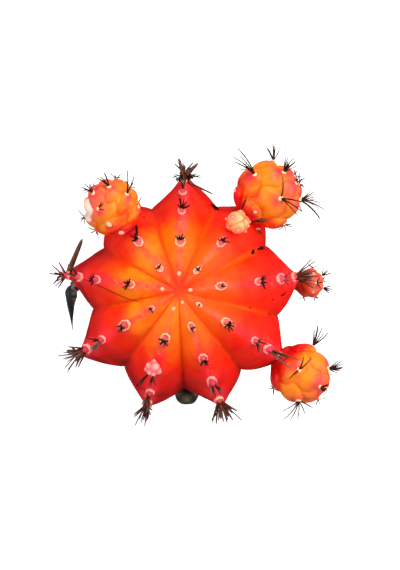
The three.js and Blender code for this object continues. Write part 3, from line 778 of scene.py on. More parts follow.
def head_finish():
    """Orange flanks that redden towards the rib ends, pink ridges partly lightened by a painted sheen,
    furrow lines darkened by painted shade, crimson at the rib ends and below that is partly painted shade.
    """
    made, tree, shader = finish(
        "head_flesh", 0.36, Specular_IOR_Level=0.1, Subsurface_Weight=0.12, Subsurface_Scale=0.0012
    )
    shader.inputs["Subsurface Radius"].default_value = (1.0, 0.25, 0.1)
    skin = placed(tree, skin_grain, {"Pores": 2200, "Patches": 95})
    place = node(tree, "TexCoord", {}).outputs["Object"]
    sides = []
    for bearing in (SUNNY_BEARING, GOLD_BEARING):
        way = Vector(at_bearing(SHIFT / (HEAD_RADIUS * MM), bearing, 0))
        sides.append(node(tree, "VectorMath", {0: place, 1: way}, operation="DOT_PRODUCT").outputs["Value"])
    sunny, gold_side = sides
    wander = graded(tree, skin["Patch"], 0.3, 0.7, -0.07, 0.07)
    reach = maths(tree, "ADD", maths(tree, "SUBTRACT", kept(tree, "reach"), gold_side), wander)
    half = maths(tree, "MULTIPLY", reach, 0.5)
    # These ramps darken to crimson past the widest, partly as painted shade on the steep flesh.
    flank = ramp(tree, half, FLANK_TONES_WITH_RIM_SHADE)
    ridge = ramp(tree, half, RIDGE_PINK_AND_SHEEN_TONES)
    furrow = ramp(tree, half, FURROW_SHADE_TONES)
    off = kept(tree, "off_ridge")
    ragged = maths(tree, "ADD", off, graded(tree, skin["Patch"], 0.35, 0.65, -0.08, 0.08))
    mottle = grains(tree, 620, detail=4, rough=0.6)
    reddened = mixed(tree, graded(tree, mottle, 0.5, 0.62, 0, 0.75), ridge, linear(RED_FRECKLES))
    mottled = mixed(tree, graded(tree, mottle, 0.3, 0.42, 0.6, 0), reddened, linear(PALE_FRECKLES))
    inner = graded(tree, reach, 0.02, 0.2, 0.2, 1)
    golden = maths(tree, "MULTIPLY", inner, graded(tree, reach, 0.46, 0.66, 1, 0))
    shaded = maths(tree, "MULTIPLY", golden, graded(tree, sunny, -0.02, 0.02, 1, 0.2))
    amber = maths(tree, "MULTIPLY", shaded, graded(tree, skin["Patch"], 0.36, 0.6, 0.1, 0.85))
    gilded = mixed(tree, amber, flank, linear(GOLD))
    tanned = mixed(tree, graded(tree, sunny, -0.005, 0.06, 0, 0.65), gilded, linear(TANNED))
    cloudy = graded(tree, grains(tree, 240, detail=4, rough=0.6), 0.46, 0.62, 0, 0.6)
    deepened = maths(tree, "MULTIPLY", cloudy, graded(tree, reach, 0.35, 0.75, 0.15, 1))
    clouded = mixed(tree, deepened, tanned, linear(DEEP_RED))
    narrowed = maths(tree, "MULTIPLY", ragged, graded(tree, reach, 0.08, 0.42, 0.6, 1))
    # The pale stripe along each ridge: partly its own pink, partly a painted sheen.
    striped = mixed(tree, graded(tree, narrowed, 0.02, 0.34, 0.9, 0), clouded, mottled)
    # Painted shade darkens the furrow lines.
    creased = mixed(tree, graded(tree, off, 0.82, 0.985), striped, furrow)
    blush = maths(tree, "MULTIPLY", kept(tree, "near"), graded(tree, reach, 0.3, 0.8, 0.1, 0.6))
    blushed = mixed(tree, blush, creased, linear(BLUSH))
    tree.links.new(blushed, shader.inputs["Base Color"])
    gloss = graded(tree, skin["Patch"], 0.35, 0.65, 0.34, 0.44)
    edge = graded(tree, kept(tree, "reach"), 0.75, 0.95, 0, 0.35)
    tree.links.new(maths(tree, "ADD", gloss, edge), shader.inputs["Roughness"])
    relief(tree, shader, skin["Height"], 0.07)
    return made


head = form("off_ridge", "reach", "near")
grow(head, RIB_COUNT * COLUMNS_PER_RIB, HEAD_RINGS, head_body)
head.normal_update()
head_surface = BVHTree.FromBMesh(head)
finished(head, "head_body", head_finish(), "head_flesh", "head")

# Areoles of the head
# The growing points along each rib: an oval collar of short cream wool round a pink bump of flesh,
# closer and smaller towards the crown. Spines come from the outer half of each.
COLLAR_LENGTH = 1.2
COLLAR_WIDTH = 0.95
COLLAR_HEIGHT = 0.42
COLLAR_SUNK = 0.6
COLLAR_SIDES = 22
COLLAR_RINGS = 18
# As shares of the collar: where its crest is and how wide, how wide the bump in it is, and how deep and
# how wide the gap at its outer end is.
CREST = 0.88
CREST_WIDTH = 0.1
BUMP_WIDTH = 0.62
GAP_DEPTH = 0.85
GAP_WIDTH = 0.4
HEAD_WOOL = ("F48A54", "FDBE8C", "FFE6C0")
OLD_WOOL = "FF9E94"
YOUNG_BUMP = [(0.3, "EE3C40"), (0.7, "FA7468")]
OLD_BUMP = [(0.3, "E0143C"), (0.7, "F84068")]
# Where each offset springs from the head, as rib and how far down it. An areole there gives way to it.
ROOTS = {
    "offset_upper_right": (1, 37.7),
    "offset_upper_left": (3, 28.5),
    "offset_lower_right": (8, 46.2),
    "offset_small_upper_right": (1, 27.7),
    "offset_small_right": (0, 52),
    "bud_lower_left": (6, 23.8),
    "stunted_offset": (7, 60.5),
}


def areole(rib, arc):
    """Where an areole sits, the way down its rib, the way across, and the way its skin faces."""
    share = arc / meridian_length
    at = head_skin(share, rib)[0]
    down = unit(head_skin(share + 0.01, rib)[0] - head_skin(max(0, share - 0.01), rib)[0])
    across = at_bearing(1, RIBS[rib, 0] + 90, 0)
    return at, down, across, np.cross(down, across)


def collar(frame_of, size, opening, roll, aged=0.0):
    """The shape of one areole: a felted collar, open at its outer end, round a bump of flesh. The wool is
    thinner and the bump larger where it has aged."""
    at, down, across, outward = frame_of
    seed = roll.uniform(0, 50)
    longer = roll.uniform(0.85, 1.25)

    def place(share, around):
        polar = share * math.pi
        angle = around * 2 * math.pi
        out = np.sin(polar)
        gap = 1 - GAP_DEPTH * opening * np.exp(-((np.sin(angle / 2) / GAP_WIDTH) ** 2))
        ragged = 1 + 0.25 * np.sin(5 * angle + seed) + 0.2 * np.sin(11 * angle + 2 * seed)
        crest = (1 - 0.4 * aged) * gap * ragged * np.exp(-(((out - CREST) / CREST_WIDTH) ** 2))
        bump = (0.7 + 1.7 * aged) * opening * np.exp(-((out / BUMP_WIDTH) ** 2))
        top = COLLAR_HEIGHT * ((1 - opening) * np.cos(polar) * ragged + opening * crest + bump)
        height = np.where(share < 0.5, top, COLLAR_SUNK * np.cos(polar))
        rough = 1 + 0.07 * np.sin(7 * angle + seed)
        flat = np.outer(COLLAR_LENGTH * longer * out * rough * np.cos(angle), down)
        wide = np.outer(COLLAR_WIDTH * out * rough * np.sin(angle), across)
        bare = (0.7 + 0.14 * aged) * (1 + 0.12 * np.sin(3 * angle + seed))
        woolly = (1 - opening * (1 - ease(bare - 0.06, bare + 0.06, out))) * (0.2 + 0.8 * gap)
        points = at + size * (flat + wide + np.outer(height, outward))
        return points, {"woolly": woolly * (0.75 + 0.25 * ragged), "aged": aged}

    return place


def wool_finish(name, tones):
    """Felt in three tones, and wet-looking pink flesh where the collar is open."""
    made, tree, shader = finish(name, 0.7, Specular_IOR_Level=0.2)
    fibres = grains(tree, 2600, detail=4, rough=0.75)
    aged = kept(tree, "aged")
    cream = ramp(tree, fibres, list(zip((0.36, 0.5, 0.64), tones)))
    wool = mixed(tree, maths(tree, "MULTIPLY", aged, 0.7), cream, linear(OLD_WOOL))
    flesh = mixed(tree, aged, ramp(tree, fibres, YOUNG_BUMP), ramp(tree, fibres, OLD_BUMP))
    woolly = kept(tree, "woolly")
    tree.links.new(mixed(tree, graded(tree, woolly, 0.1, 0.8), flesh, wool), shader.inputs["Base Color"])
    tree.links.new(graded(tree, woolly, 0, 1, 0.3, 0.85), shader.inputs["Roughness"])
    relief(tree, shader, fibres, 0.15)
    return made


def head_areoles():
    """Every free areole of the head, as rib and how far down it."""
    places = [(rib, arc) for rib, arcs in enumerate(AREOLES) for arc in arcs]
    return [place for place in places if place not in ROOTS.values()]


wool_material = wool_finish("areole_wool", HEAD_WOOL)
roll = random.Random(11)
collars = []
for rib, arc in head_areoles():
    size = 0.4 + 0.95 * float(ease(2, 14, arc)) + 0.1 * float(ease(22, 34, arc))
    opening = float(ease(5, 10, arc)) * roll.uniform(0.75, 1)
    aged = float(ease(11, 27, arc)) * roll.uniform(0.75, 1)
    collars.append(collar(areole(rib, arc), size * roll.uniform(0.82, 1.12), opening, roll, aged))
head_wool = form("woolly", "aged")
grow(head_wool, COLLAR_SIDES, COLLAR_RINGS, *collars)
finished(head_wool, "head_areoles", wool_material, "wool")

# Spines of the head
# Horny, slightly curved spines, dark when young and greying with age. They are few and short near the
# crown, and stand in dense tufts of flattened old spines at the rib ends.
SPINE_RADIUS = 0.19
SPINE_SUNK = 0.5
SPINE_TAPER = 0.22
SPINE_SIDES = 5
SPINE_RINGS = 8
LONG_SPINE_RADIUS = 0.24
LONG_SPINE_AGE = 0.7
HORN_TONES = [(0.0, "260A04"), (0.35, "421A0E"), (0.65, "643424"), (1.0, "7E6456")]
WORN_TIP = "665A54"
# A way that no spine runs along, which gives the way across each.
OFF_AXIS = (0.31, 0.17, 0.93)
# From how far down a rib, how many spines, how long, how steeply they stand off the skin, how far round
# they spread, and how far past the middle of the areole they stand.
HABITS = [
    (0.0, 0, 0.0, 60, 2.2, 0.1),
    (6.0, 3, 1.2, 60, 2.2, 0.15),
    (7.0, 3, 1.6, 55, 2.2, 0.2),
    (12.0, 6, 2.2, 40, 2.3, 0.45),
    (22.0, 6, 3.0, 30, 1.7, 0.5),
    (30.0, 6, 3.6, 30, 1.4, 0.45),
    (36.0, 6, 4.2, 30, 1.35, 0.45),
    (44.0, 5, 4.2, 35, 1.35, 0.45),
    (52.0, 4, 3.6, 35, 1.35, 0.45),
]
# Tufts at the rib ends: rib, how far down it, the way the fan looks from above, half its spread, how
# many spines, how long, and how wide for their thickness.
TUFTS = [
    (0, 31.6, 0, 60, 6, 2.6, 1.2),
    (0, 39.5, 10, 48, 15, 7.4, 1.5),
    (2, 30.4, 80, 30, 5, 4.0, 1.6),
    (2, 37.0, 72, 40, 8, 4.6, 1.9),
    (4, 31.0, 165, 70, 7, 4.0, 1.8),
    (4, 37.8, 165, 85, 9, 4.6, 1.6),
    (5, 26.2, 215, 50, 9, 3.6, 1.7),
    (5, 34.1, 212, 40, 16, 5.6, 2.2),
    (5, 41.5, 205, 50, 9, 5.6, 1.6),
    (6, 32.4, 250, 36, 9, 5.2, 1.9),
    (6, 38.8, 258, 40, 14, 5.4, 2.0),
    (7, 27.6, 295, 40, 7, 4.2, 1.8),
    (7, 36.6, 288, 44, 11, 6.6, 2.3),
    (8, 25.8, 330, 60, 6, 3.4, 1.6),
    (8, 32.2, 336, 16, 5, 7.0, 1.8),
    (8, 40.5, 318, 34, 4, 5.0, 1.8),
]
# The longest old spines, each on its own: rib, how far down it, the way its tip looks, its length, its
# bend sideways, and how wide it is for its thickness.
LONG_SPINES = [
    (4, 37.8, (0.38, 0.9, 0.25), 12.4, 0.8, 3.8),
    (4, 37.8, (-0.72, -0.62, 0.1), 4.6, 0.3, 1.0),
    (2, 37.0, (-0.14, 0.9, 0.45), 6.6, 0.4, 2.8),
    (2, 37.0, (0.6, 0.72, 0.4), 6.4, -0.5, 2.6),
    (2, 37.0, (0.86, -0.46, 0.12), 9.4, -0.6, 1.6),
    (8, 32.2, (0.95, -0.24, 0.25), 9.4, -0.8, 1.0),
    (6, 38.8, (-0.5, -0.84, 0.1), 8.0, 0.3, 1.0),
    (6, 38.8, (-0.14, -0.97, 0.1), 7.2, 0.2, 1.0),
    (7, 36.6, (0.76, -0.62, 0.05), 9.6, -0.5, 1.0),
    (5, 41.5, (-0.98, -0.06, 0.1), 6.5, 0.2, 1.0),
]


def spine(root, along, length, radius, bend, age, flat=1.0):
    """The shape of one spine from its root: bend is how far its tip leans over, flat how wide it is for
    its thickness, and age is 0 for dark and 1 for grey."""
    ahead = unit(along)
    side = unit(np.cross(ahead, OFF_AXIS))
    up = np.cross(ahead, side)

    def place(share, around):
        run = 1 - share
        angle = 2 * math.pi * around
        thick = radius * (1 - run) ** SPINE_TAPER * (share > 0) * (share < 1)
        straight = root + np.outer(run * (length + SPINE_SUNK) - SPINE_SUNK, ahead)
        ring = np.outer(thick * flat * np.cos(angle), side) + np.outer(thick * np.sin(angle), up)
        return straight + np.outer(run**2, bend) + ring, {"run": run, "age": age}

    return place


def spine_finish():
    """Brown horn, near black where young, grey where old, paler to the tip."""
    made, tree, shader = finish("spine_horn", 0.6, Specular_IOR_Level=0.08)
    fine = graded(tree, grains(tree, 1400, detail=3), 0.3, 0.7, -0.15, 0.15)
    age = maths(tree, "ADD", kept(tree, "age"), fine)
    horn = ramp(tree, age, HORN_TONES)
    tip = graded(tree, kept(tree, "run"), 0.4, 0.95, 0, 0.6)
    worn = maths(tree, "MULTIPLY", tip, graded(tree, age, 0.1, 0.6))
    tree.links.new(mixed(tree, worn, horn, linear(WORN_TIP)), shader.inputs["Base Color"])
    relief(tree, shader, grains(tree, 5000, detail=2), 0.05)
    return made


def young_tuft(frame_of, count, length, stand, spread, past, roll):
    """Short dark spines that spread from one areole, past its middle."""
    at, down, across, outward = frame_of
    made = []
    for number in range(count):
        fan = spread * ((number + 0.5) / count * 2 - 1) + roll.gauss(0, 0.22)
        lift = math.radians(stand) * roll.uniform(0.5, 1.5)
        flat = down * math.cos(fan) + across * math.sin(fan)
        along = flat * math.cos(lift) + outward * math.sin(lift)
        root = at + past * down + 0.25 * outward
        reach = length * roll.uniform(0.55, 1.2)
        bend = 0.16 * reach * (outward * roll.uniform(-0.6, 0.6) + across * roll.uniform(-0.7, 0.7))
        thick = SPINE_RADIUS * roll.uniform(1.1, 1.7)
        made.append(spine(root, along, reach, thick, bend, roll.uniform(0, 0.3)))
    return made


def old_tuft(frame_of, looks, spread, count, length, flat, roll):
    """Long flattened spines that fan from one areole about a bearing seen from above."""
    at, down, across, outward = frame_of
    made = []
    for number in range(count):
        bearing = looks + spread * ((number + 0.5) / count * 2 - 1) + roll.gauss(0, 6)
        level = at_bearing(1, bearing, 0)
        along = unit(level + outward * roll.uniform(0.0, 0.45) + np.array([0, 0, roll.uniform(-0.1, 0.35)]))
        root = at + 0.5 * down + across * roll.uniform(-0.35, 0.35) + 0.15 * outward
        reach = length * roll.uniform(0.6, 1.15)
        bend = 0.14 * reach * (np.array([0, 0, roll.uniform(-1, 0.6)]) + across * roll.uniform(-0.8, 0.8))
        width = flat * roll.uniform(0.6, 0.95)
        made.append(spine(root, along, reach, SPINE_RADIUS, bend, roll.uniform(0.2, 0.85), width))
    return made


spine_material = spine_finish()
roll = random.Random(23)
needles = []
tufted = [(rib, arc) for rib, arc, *_ in TUFTS]
for rib, arc in head_areoles():
    _, *habit = [row for row in HABITS if row[0] <= arc][-1]
    if (rib, arc) not in tufted:
        needles += young_tuft(areole(rib, arc), *habit, roll)
for rib, arc, *habit in TUFTS:
    needles += old_tuft(areole(rib, arc), *habit, roll)
for rib, arc, along, length, bend, flat in LONG_SPINES:
    at, down, across, outward = areole(rib, arc)
    root = at + 0.4 * down
    needles.append(spine(root, along, length, LONG_SPINE_RADIUS, across * bend, LONG_SPINE_AGE, flat))
head_spines = form("run", "age")
grow(head_spines, SPINE_SIDES, SPINE_RINGS, *needles)
finished(head_spines, "head_spines", spine_material, "spine")

# Areoles of the rootstock
# Small brown felt cushions in the notches of its wings, each with three short horny spines that are
# rooted under the felt and splay apart.
STOCK_AREOLES = 3
STOCK_CUSHION = 0.75
CUSHION_SUNK = 0.15
STOCK_SPINE = 1.9
STOCK_SPINE_RADIUS = 0.3
STOCK_SPLAY = math.radians(36)
STOCK_TURNS = np.radians([90, 210, 330])
STOCK_WOOL = ("6E5A44", "94806A", "B8A68C")
roll = random.Random(19)
cushions = []
thorns = []
for wing in range(WINGS):
    for number in range(STOCK_AREOLES):
        height = FIRST_STOCK_AREOLE + number * STOCK_PITCH
        radius, bearing, _ = wing_section(wing / WINGS, height)
        outward = at_bearing(1, bearing, 0)
        across = at_bearing(1, bearing + 90, 0)
        at = at_bearing(radius - CUSHION_SUNK, bearing, height)
        down = np.array([0, 0, -1.0])
        cushions.append(collar((at, down, across, outward), STOCK_CUSHION, 0.0, roll))
        for turn in STOCK_TURNS:
            splayed = across * math.cos(turn) + np.array([0, 0, math.sin(turn)])
            along = outward * math.cos(STOCK_SPLAY) + splayed * math.sin(STOCK_SPLAY)
            age = roll.uniform(0.3, 0.8)
            thorns.append(spine(at, along, STOCK_SPINE, STOCK_SPINE_RADIUS, (0, 0, 0), age))
stock_wool = form("woolly", "aged")
grow(stock_wool, COLLAR_SIDES, COLLAR_RINGS, *cushions)
felt = wool_finish("rootstock_wool", STOCK_WOOL)
finished(stock_wool, "rootstock_areoles", felt, "wool")
stock_thorns = form("run", "age")
grow(stock_thorns, SPINE_SIDES, SPINE_RINGS, *thorns)
finished(stock_thorns, "rootstock_spines", spine_material, "spine")

# Offsets
# Young plants that spring from areoles of the head on short necks. Each is a small globe of swollen
# tubercles parted by creases, with a dot of wool and thin curved spines near the top of each tubercle.
RIB_DEPTH = 0.12
RIB_SWING = 0.13
TUBERCLE_DEPTH = 0.125
ROW_SWEEP = 0.3
CHIN_RISE = 0.7
CHIN_BLUNTNESS = 2.4
AREOLE_ROW = 0.18
BLUSH_BELOW = 0.16
BLUSH_WIDTH = 0.2
TIP_POLAR = 0.12
BASE_POLAR = 2.5
CROWN_DENT = 0.07
CROWN_DENT_WIDTH = 0.22
NECK_WIDTH = 0.5
NECK_SUNK = 1.5
NECK_CLEARANCE = math.radians(38)
# Unevenness of the flesh, and its size.
FLESH_RELIEF = 0.14
FLESH_WAVE = 2.8
MOST_ROWS = 9
OFFSET_COLUMNS = 160
OFFSET_RINGS = 100
WOOL_DOT = 0.62
DOT_LIFT = 0.08
DOT_SIDES = 14
DOT_RINGS = 10
OFFSET_SPINE_RADIUS = 0.2
# How many spines a hidden areole has, and how long.
HIDDEN_SPINES = (4, 3.2)
HAND_REACH = math.radians(33)
SIDE_RISE = 0.25
OFFSET_TONES = [
    (0.0, "F8604C"), (0.16, "FB6C3A"), (0.3, "FD8420"), (0.44, "FE921A"), (0.58, "FC6A10"),
    (0.72, "F83A0C"), (0.88, "EE1C0C"), (1.0, "CC120C"),
]
OFFSET_BLUSH = "F02E44"
# Multiplied into the creases between tubercles as painted shade.
OFFSET_CREASE_SHADE = "FAAC74"
# The pink edge and the white core of a painted highlight. The pink is partly the flesh's own pink.
HIGHLIGHT_PINK_EDGE = "F4605A"
PAINTED_HIGHLIGHT = "FFE6D4"
OFFSET_WOOL = ("FFB078", "FFD8A4", "FFF0D0")
# pitch is the angle from areole to areole down a rib, turn the degrees that the ribs are turned round
# the crown, flush how much redder the flesh is near its neck, and pale the way that a painted highlight
# faces, white at its core with a pink edge. Each of fans is the bearing and tilt from upright of one
# areole, the way its spines look from above, half their spread, how many, how long, and how far they
# curl to the left. The other areoles have spines only where they face sideways or down, which is under
# SIDE_RISE.
OFFSETS = [
    {
        "name": "offset_upper_right",
        "radius": 9.6,
        "middle": (24.2, 26.3, 28),
        "crown": (0.85, 0.4, 0.35),
        "ribs": 6,
        "turn": 90,
        "pitch": 0.85,
        "flush": 0.4,
        "fans": [
            (137, 42, 126, 13, 4, 8.2, 0.6),
            (137, 42, 262, 14, 2, 2.8, 0.3),
            (95, 66, 76, 34, 7, 4.3, 0.8),
            (63, 35, 56, 12, 2, 3.4, 0.5),
            (46, 44, 62, 40, 6, 4.4, -0.4),
            (15, 46, 62, 34, 3, 3.4, 0.5),
            (-21, 20, 62, 2, 1, 6.6, 1.6),
            (-21, 20, 341, 22, 3, 6.4, -0.4),
            (-12, 59, 28, 26, 5, 4.2, 0.3),
            (-20, 81, 346, 20, 7, 6.6, -1.3),
        ],
    },
    {
        "name": "offset_upper_left",
        "radius": 7.9,
        "middle": (-17.7, 22.4, 37),
        "crown": (-0.62, 0.63, 0.46),
        "ribs": 5,
        "turn": 180,
        "pitch": 0.65,
        "pale": (-0.93, -0.13, 0.36),
        "fans": [
            (43, 51, 78, 7, 2, 6.4, 0.4),
            (97, 48, 118, 22, 4, 4.4, 0.7),
            (142, 38, 112, 26, 3, 3.2, 0.8),
            (192, 37, 20, 34, 4, 2.2, 0.5),
        ],
    },
    {
        "name": "offset_lower_right",
        "radius": 8.7,
        "middle": (33.9, -23.2, 19),
        "crown": (0.73, -0.52, 0.45),
        "ribs": 5,
        "turn": 18,
        "pitch": 0.95,
        "flush": 0.6,
        "fans": [
            (61, 82, 54, 36, 6, 5.6, 0.6),
            (32, 84, 4, 30, 6, 4.0, 0.6),
            (14, 65, -22, 34, 6, 3.6, 0.8),
            (14, 65, 200, 36, 3, 4.4, -1.8),
            (-14, 45, -26, 36, 4, 2.4, 0.5),
            (-43, 34, -36, 36, 4, 2.4, 0.5),
            (-79, 57, -34, 30, 3, 4.6, -1.1),
            (-108, 50, -118, 26, 3, 6.0, -1.1),
            (158, 19, 40, 12, 2, 4.8, 0.4),
            (158, 19, 215, 10, 1, 3.6, 0.6),
        ],
    },
]


def tilted(bearing, tilt):
    """The unit vector on a bearing, tilted from upright, both in degrees."""
    return at_bearing(math.sin(math.radians(tilt)), bearing, math.cos(math.radians(tilt)))


def offset_axes(offset):
    """Two level ways turned round an offset's crown, and the way to its crown."""
    crown = unit(offset["crown"])
    level = unit(np.cross([0.3, 0.9, 0.1], crown))
    third = np.cross(crown, level)
    turn = math.radians(offset.get("turn", 0))
    first = level * math.cos(turn) + third * math.sin(turn)
    return first, np.cross(crown, first), crown


def headings(offset, polar, around):
    """Unit ways out of an offset's middle by the angle from its crown and the share of a turn."""
    first, second, crown = offset_axes(offset)
    angle = 2 * math.pi * np.atleast_1d(around)
    sides = np.outer(np.cos(angle), first) + np.outer(np.sin(angle), second)
    return np.sin(polar)[:, None] * sides + np.outer(np.cos(polar), crown)


def stagger(offset):
    """How much higher the areoles of each rib sit than those of the rib before, in rows."""
    return offset["ribs"] // 2 / offset["ribs"]


def ribbed_skin(offset, polar, around):
    """How far out an offset's ribbed skin stands, in radii, and the numbers kept there."""
    even = around * offset["ribs"]
    sway = np.sin(2 * math.pi * (polar / offset["pitch"] + stagger(offset) * even))
    rib = even + RIB_SWING * sway * np.sin(math.pi * even) ** 2
    nearest = np.round(rib)
    off = np.minimum(1, 2 * np.abs(rib - nearest))
    row = polar / offset["pitch"] + stagger(offset) * nearest - ROW_SWEEP * off**2
    beyond = row - np.floor(row)
    chin = 1 - np.abs(2 * beyond**CHIN_RISE - 1) ** CHIN_BLUNTNESS
    fade = ease(0, 0.7, polar) * (1 - ease(2.3, 2.9, polar))
    sunk = RIB_DEPTH * off**1.8 + TUBERCLE_DEPTH * (1 - chin) * (1 - off**2)
    dent = CROWN_DENT * np.exp(-((polar / CROWN_DENT_WIDTH) ** 2))
    below = (beyond - AREOLE_ROW - BLUSH_BELOW) * offset["pitch"]
    beside = off * math.pi / offset["ribs"] * np.sin(polar)
    marks = {
        "crease": fade * np.maximum(off**6, 0.9 * (1 - chin) ** 5 * (1 - 0.5 * off**2)),
        "areole": np.exp(-(below**2 + beside**2) / BLUSH_WIDTH**2),
        "lump": np.sin(2.9 * (nearest % offset["ribs"]) + 5.1 * np.floor(polar / offset["pitch"])),
    }
    return 1 - fade * sunk - dent, marks


def neck_of(offset):
    """The middle of an offset, the way to its root in the head, and how far that is."""
    middle = np.array(offset["middle"]) + GRAFT
    at, _, _, outward = areole(*ROOTS[offset["name"]])
    to_root = at - NECK_SUNK * outward - middle
    return middle, unit(to_root), np.linalg.norm(to_root)


def angles_between(ways, others):
    """The angle from every one of some ways to every one of the others."""
    return np.arccos(np.clip(np.asarray(ways) @ np.transpose(others), -1, 1))


def add_globe(offset, skin_of, material, columns, rings):
    """One offset's flesh as a piece, its rings running from its crown, pulled out to its neck."""
    middle, neck, reach = neck_of(offset)

    def place(down, around):
        polar = down * math.pi
        ways = headings(offset, polar, around)
        skin, marks = skin_of(offset, polar, around)
        toward = angles_between(ways, [neck])[:, 0]
        pulled = np.exp(-((toward / NECK_WIDTH) ** 2))
        radius = skin * offset["radius"] * (1 - pulled) + reach * pulled
        marks["crease"] = marks["crease"] * (1 - pulled)
        marks["down"] = down + offset.get("flush", 0.2) * (1 - ease(0.4, 1.7, toward))
        # The mask of the painted highlight, round the way that pale gives.
        off_highlight = angles_between(ways, [unit(offset["pale"])])[:, 0] if "pale" in offset else math.pi
        marks["pale"] = 1 - ease(0.15, 0.9, off_highlight)
        points = middle + ways * radius[:, None]
        return points + ways * (FLESH_RELIEF * cloud(points, FLESH_WAVE, 4))[:, None], marks

    globe = form("crease", "areole", "lump", "down", "pale")
    grow(globe, columns, rings, place)
    name = offset["name"]
    finished(globe, name + "_globe", material, offset.get("slot", "offset_flesh"), name)


def globe_finish(name, tones, blush, crease):
    """Flesh by how far down from the crown, with painted shade in the creases, a blush below each areole,
    and a painted highlight, pink at its edge and white at its core, where pale is kept.
    """
    made, tree, shader = finish(name, 0.3, Specular_IOR_Level=0.16, Subsurface_Weight=0.12)
    shader.inputs["Subsurface Scale"].default_value = 0.0012
    shader.inputs["Subsurface Radius"].default_value = (1.0, 0.3, 0.1)
    skin = placed(tree, skin_grain, {"Pores": 2600, "Patches": 210})
    cloudy = graded(tree, skin["Patch"], 0.32, 0.68, -0.13, 0.13)
    wander = maths(tree, "ADD", cloudy, maths(tree, "MULTIPLY", kept(tree, "lump"), 0.035))
    flesh = ramp(tree, maths(tree, "ADD", kept(tree, "down"), wander), tones)
    # Painted shade darkens the creases between tubercles.
    creased = graded(tree, kept(tree, "crease"), 0.15, 1.0, 0, 0.8)
    shaded = mixed(tree, creased, flesh, linear(crease), "MULTIPLY")
    near = maths(tree, "MULTIPLY", kept(tree, "areole"), graded(tree, skin["Patch"], 0.3, 0.6, 0.45, 1))
    blushed = mixed(tree, near, shaded, linear(blush))
    # Where the painted highlight lies, from the pale mark with soft patches.
    highlight_mask = maths(tree, "ADD", kept(tree, "pale"), graded(tree, skin["Patch"], 0.3, 0.7, -0.12, 0.12))
    # The wide pink edge of the painted highlight, partly the flesh's own pink.
    pinked_by_highlight = mixed(tree, graded(tree, highlight_mask, 0.2, 0.6, 0, 0.6), blushed, linear(HIGHLIGHT_PINK_EDGE))
    # The white core of the painted highlight.
    healed = mixed(tree, graded(tree, highlight_mask, 0.68, 0.78, 0, 0.9), pinked_by_highlight, linear(PAINTED_HIGHLIGHT))
    tree.links.new(healed, shader.inputs["Base Color"])
    relief(tree, shader, skin["Height"], 0.06)
    return made


def ribbed_areoles(offset):
    """The areoles of a ribbed offset that are clear of its neck, with the ways they face."""
    middle, neck, _ = neck_of(offset)
    found = []
    for rib in range(offset["ribs"]):
        around = rib / offset["ribs"]
        for row in range(MOST_ROWS):
            polar = (row + AREOLE_ROW - stagger(offset) * rib) * offset["pitch"]
            way = headings(offset, np.array([polar]), around)[0]
            off_neck = angles_between([way], [neck])[0, 0]
            if TIP_POLAR < polar < BASE_POLAR and off_neck > NECK_CLEARANCE:
                skin = ribbed_skin(offset, np.array([polar]), np.array([around]))[0][0]
                found.append((middle + way * (skin * offset["radius"] + DOT_LIFT), way))
    return found


def fan_of(at, way, looks, spread, count, length, curl, roll):
    """Long curved spines that look one way from above."""
    made = []
    for turn in np.linspace(-1, 1, count) if count > 1 else [0]:
        level = at_bearing(1, looks + spread * turn + roll.gauss(0, 4), 0)
        along = unit(level + way * roll.uniform(0.1, 0.5))
        reach = length * roll.uniform(0.85, 1.2)
        leftward = np.cross([0, 0, 1], along) * (curl + roll.uniform(-0.45, 0.45))
        lean = reach * (0.3 * leftward - np.array([0, 0, 0.2]))
        thick = OFFSET_SPINE_RADIUS * roll.uniform(0.8, 1.2)
        made.append(spine(at, along, reach, thick, lean, roll.uniform(0, 0.45)))
    return made


def ruled_spines(at, way, down, across, count, length, roll):
    """A few spines all round an areole, that lean outward."""
    made = []
    for number in range(count):
        turn = 2 * math.pi * (number + roll.uniform(0, 0.7)) / count
        along = unit(way * roll.uniform(0.5, 1) + down * math.cos(turn) + across * math.sin(turn))
        reach = length * roll.uniform(0.7, 1.1)
        thick = OFFSET_SPINE_RADIUS * roll.uniform(0.7, 1.1)
        made.append(spine(at, along, reach, thick, -0.2 * reach * way, roll.uniform(0.2, 0.8)))
    return made


def offset_growths(offset, places, roll):
    """The wool dots and spines of an offset whose areoles are points with the ways they face."""
    crown = unit(offset["crown"])
    dots = []
    needles = []
    by_hand = {}
    ways = [way for _, way in places]
    for bearing, tilt, *fan in offset["fans"]:
        apart = angles_between([tilted(bearing, tilt)], ways)[0]
        if apart.min() < HAND_REACH:
            by_hand.setdefault(int(apart.argmin()), []).append(fan)
    for number, (at, way) in enumerate(places):
        across = unit(np.cross(way, crown))
        down = np.cross(across, way)
        dot = offset.get("dot", WOOL_DOT) * roll.uniform(0.7, 1.15)
        dots.append(collar((at, down, across, way), dot, 0.0, roll))
        for habit in by_hand.get(number, []):
            needles += fan_of(at, way, *habit, roll)
        if number not in by_hand and way[2] < SIDE_RISE:
            needles += ruled_spines(at, way, down, across, *offset.get("hidden", HIDDEN_SPINES), roll)
    return dots, needles


offset_material = globe_finish("offset_flesh", OFFSET_TONES, OFFSET_BLUSH, OFFSET_CREASE_SHADE)
roll = random.Random(31)
offset_dots = []
offset_needles = []
for offset in OFFSETS:
    add_globe(offset, ribbed_skin, offset_material, OFFSET_COLUMNS, OFFSET_RINGS)
    dots, needles = offset_growths(offset, ribbed_areoles(offset), roll)
    offset_dots += dots
    offset_needles += needles

# Young offsets
# Three much younger ones, each a cluster of a few uneven tubercles: a pale one and a red one that are
# already spiny, and a bud. A fourth, at the head's edge, has dried to a mottled brown knob.
LUMP_FULLNESS = 2.1
YOUNG_DOT_LIFT = 0.05
YOUNG_BLUSH_WIDTH = 0.3
YOUNG_COLUMNS = 96
YOUNG_RINGS = 64
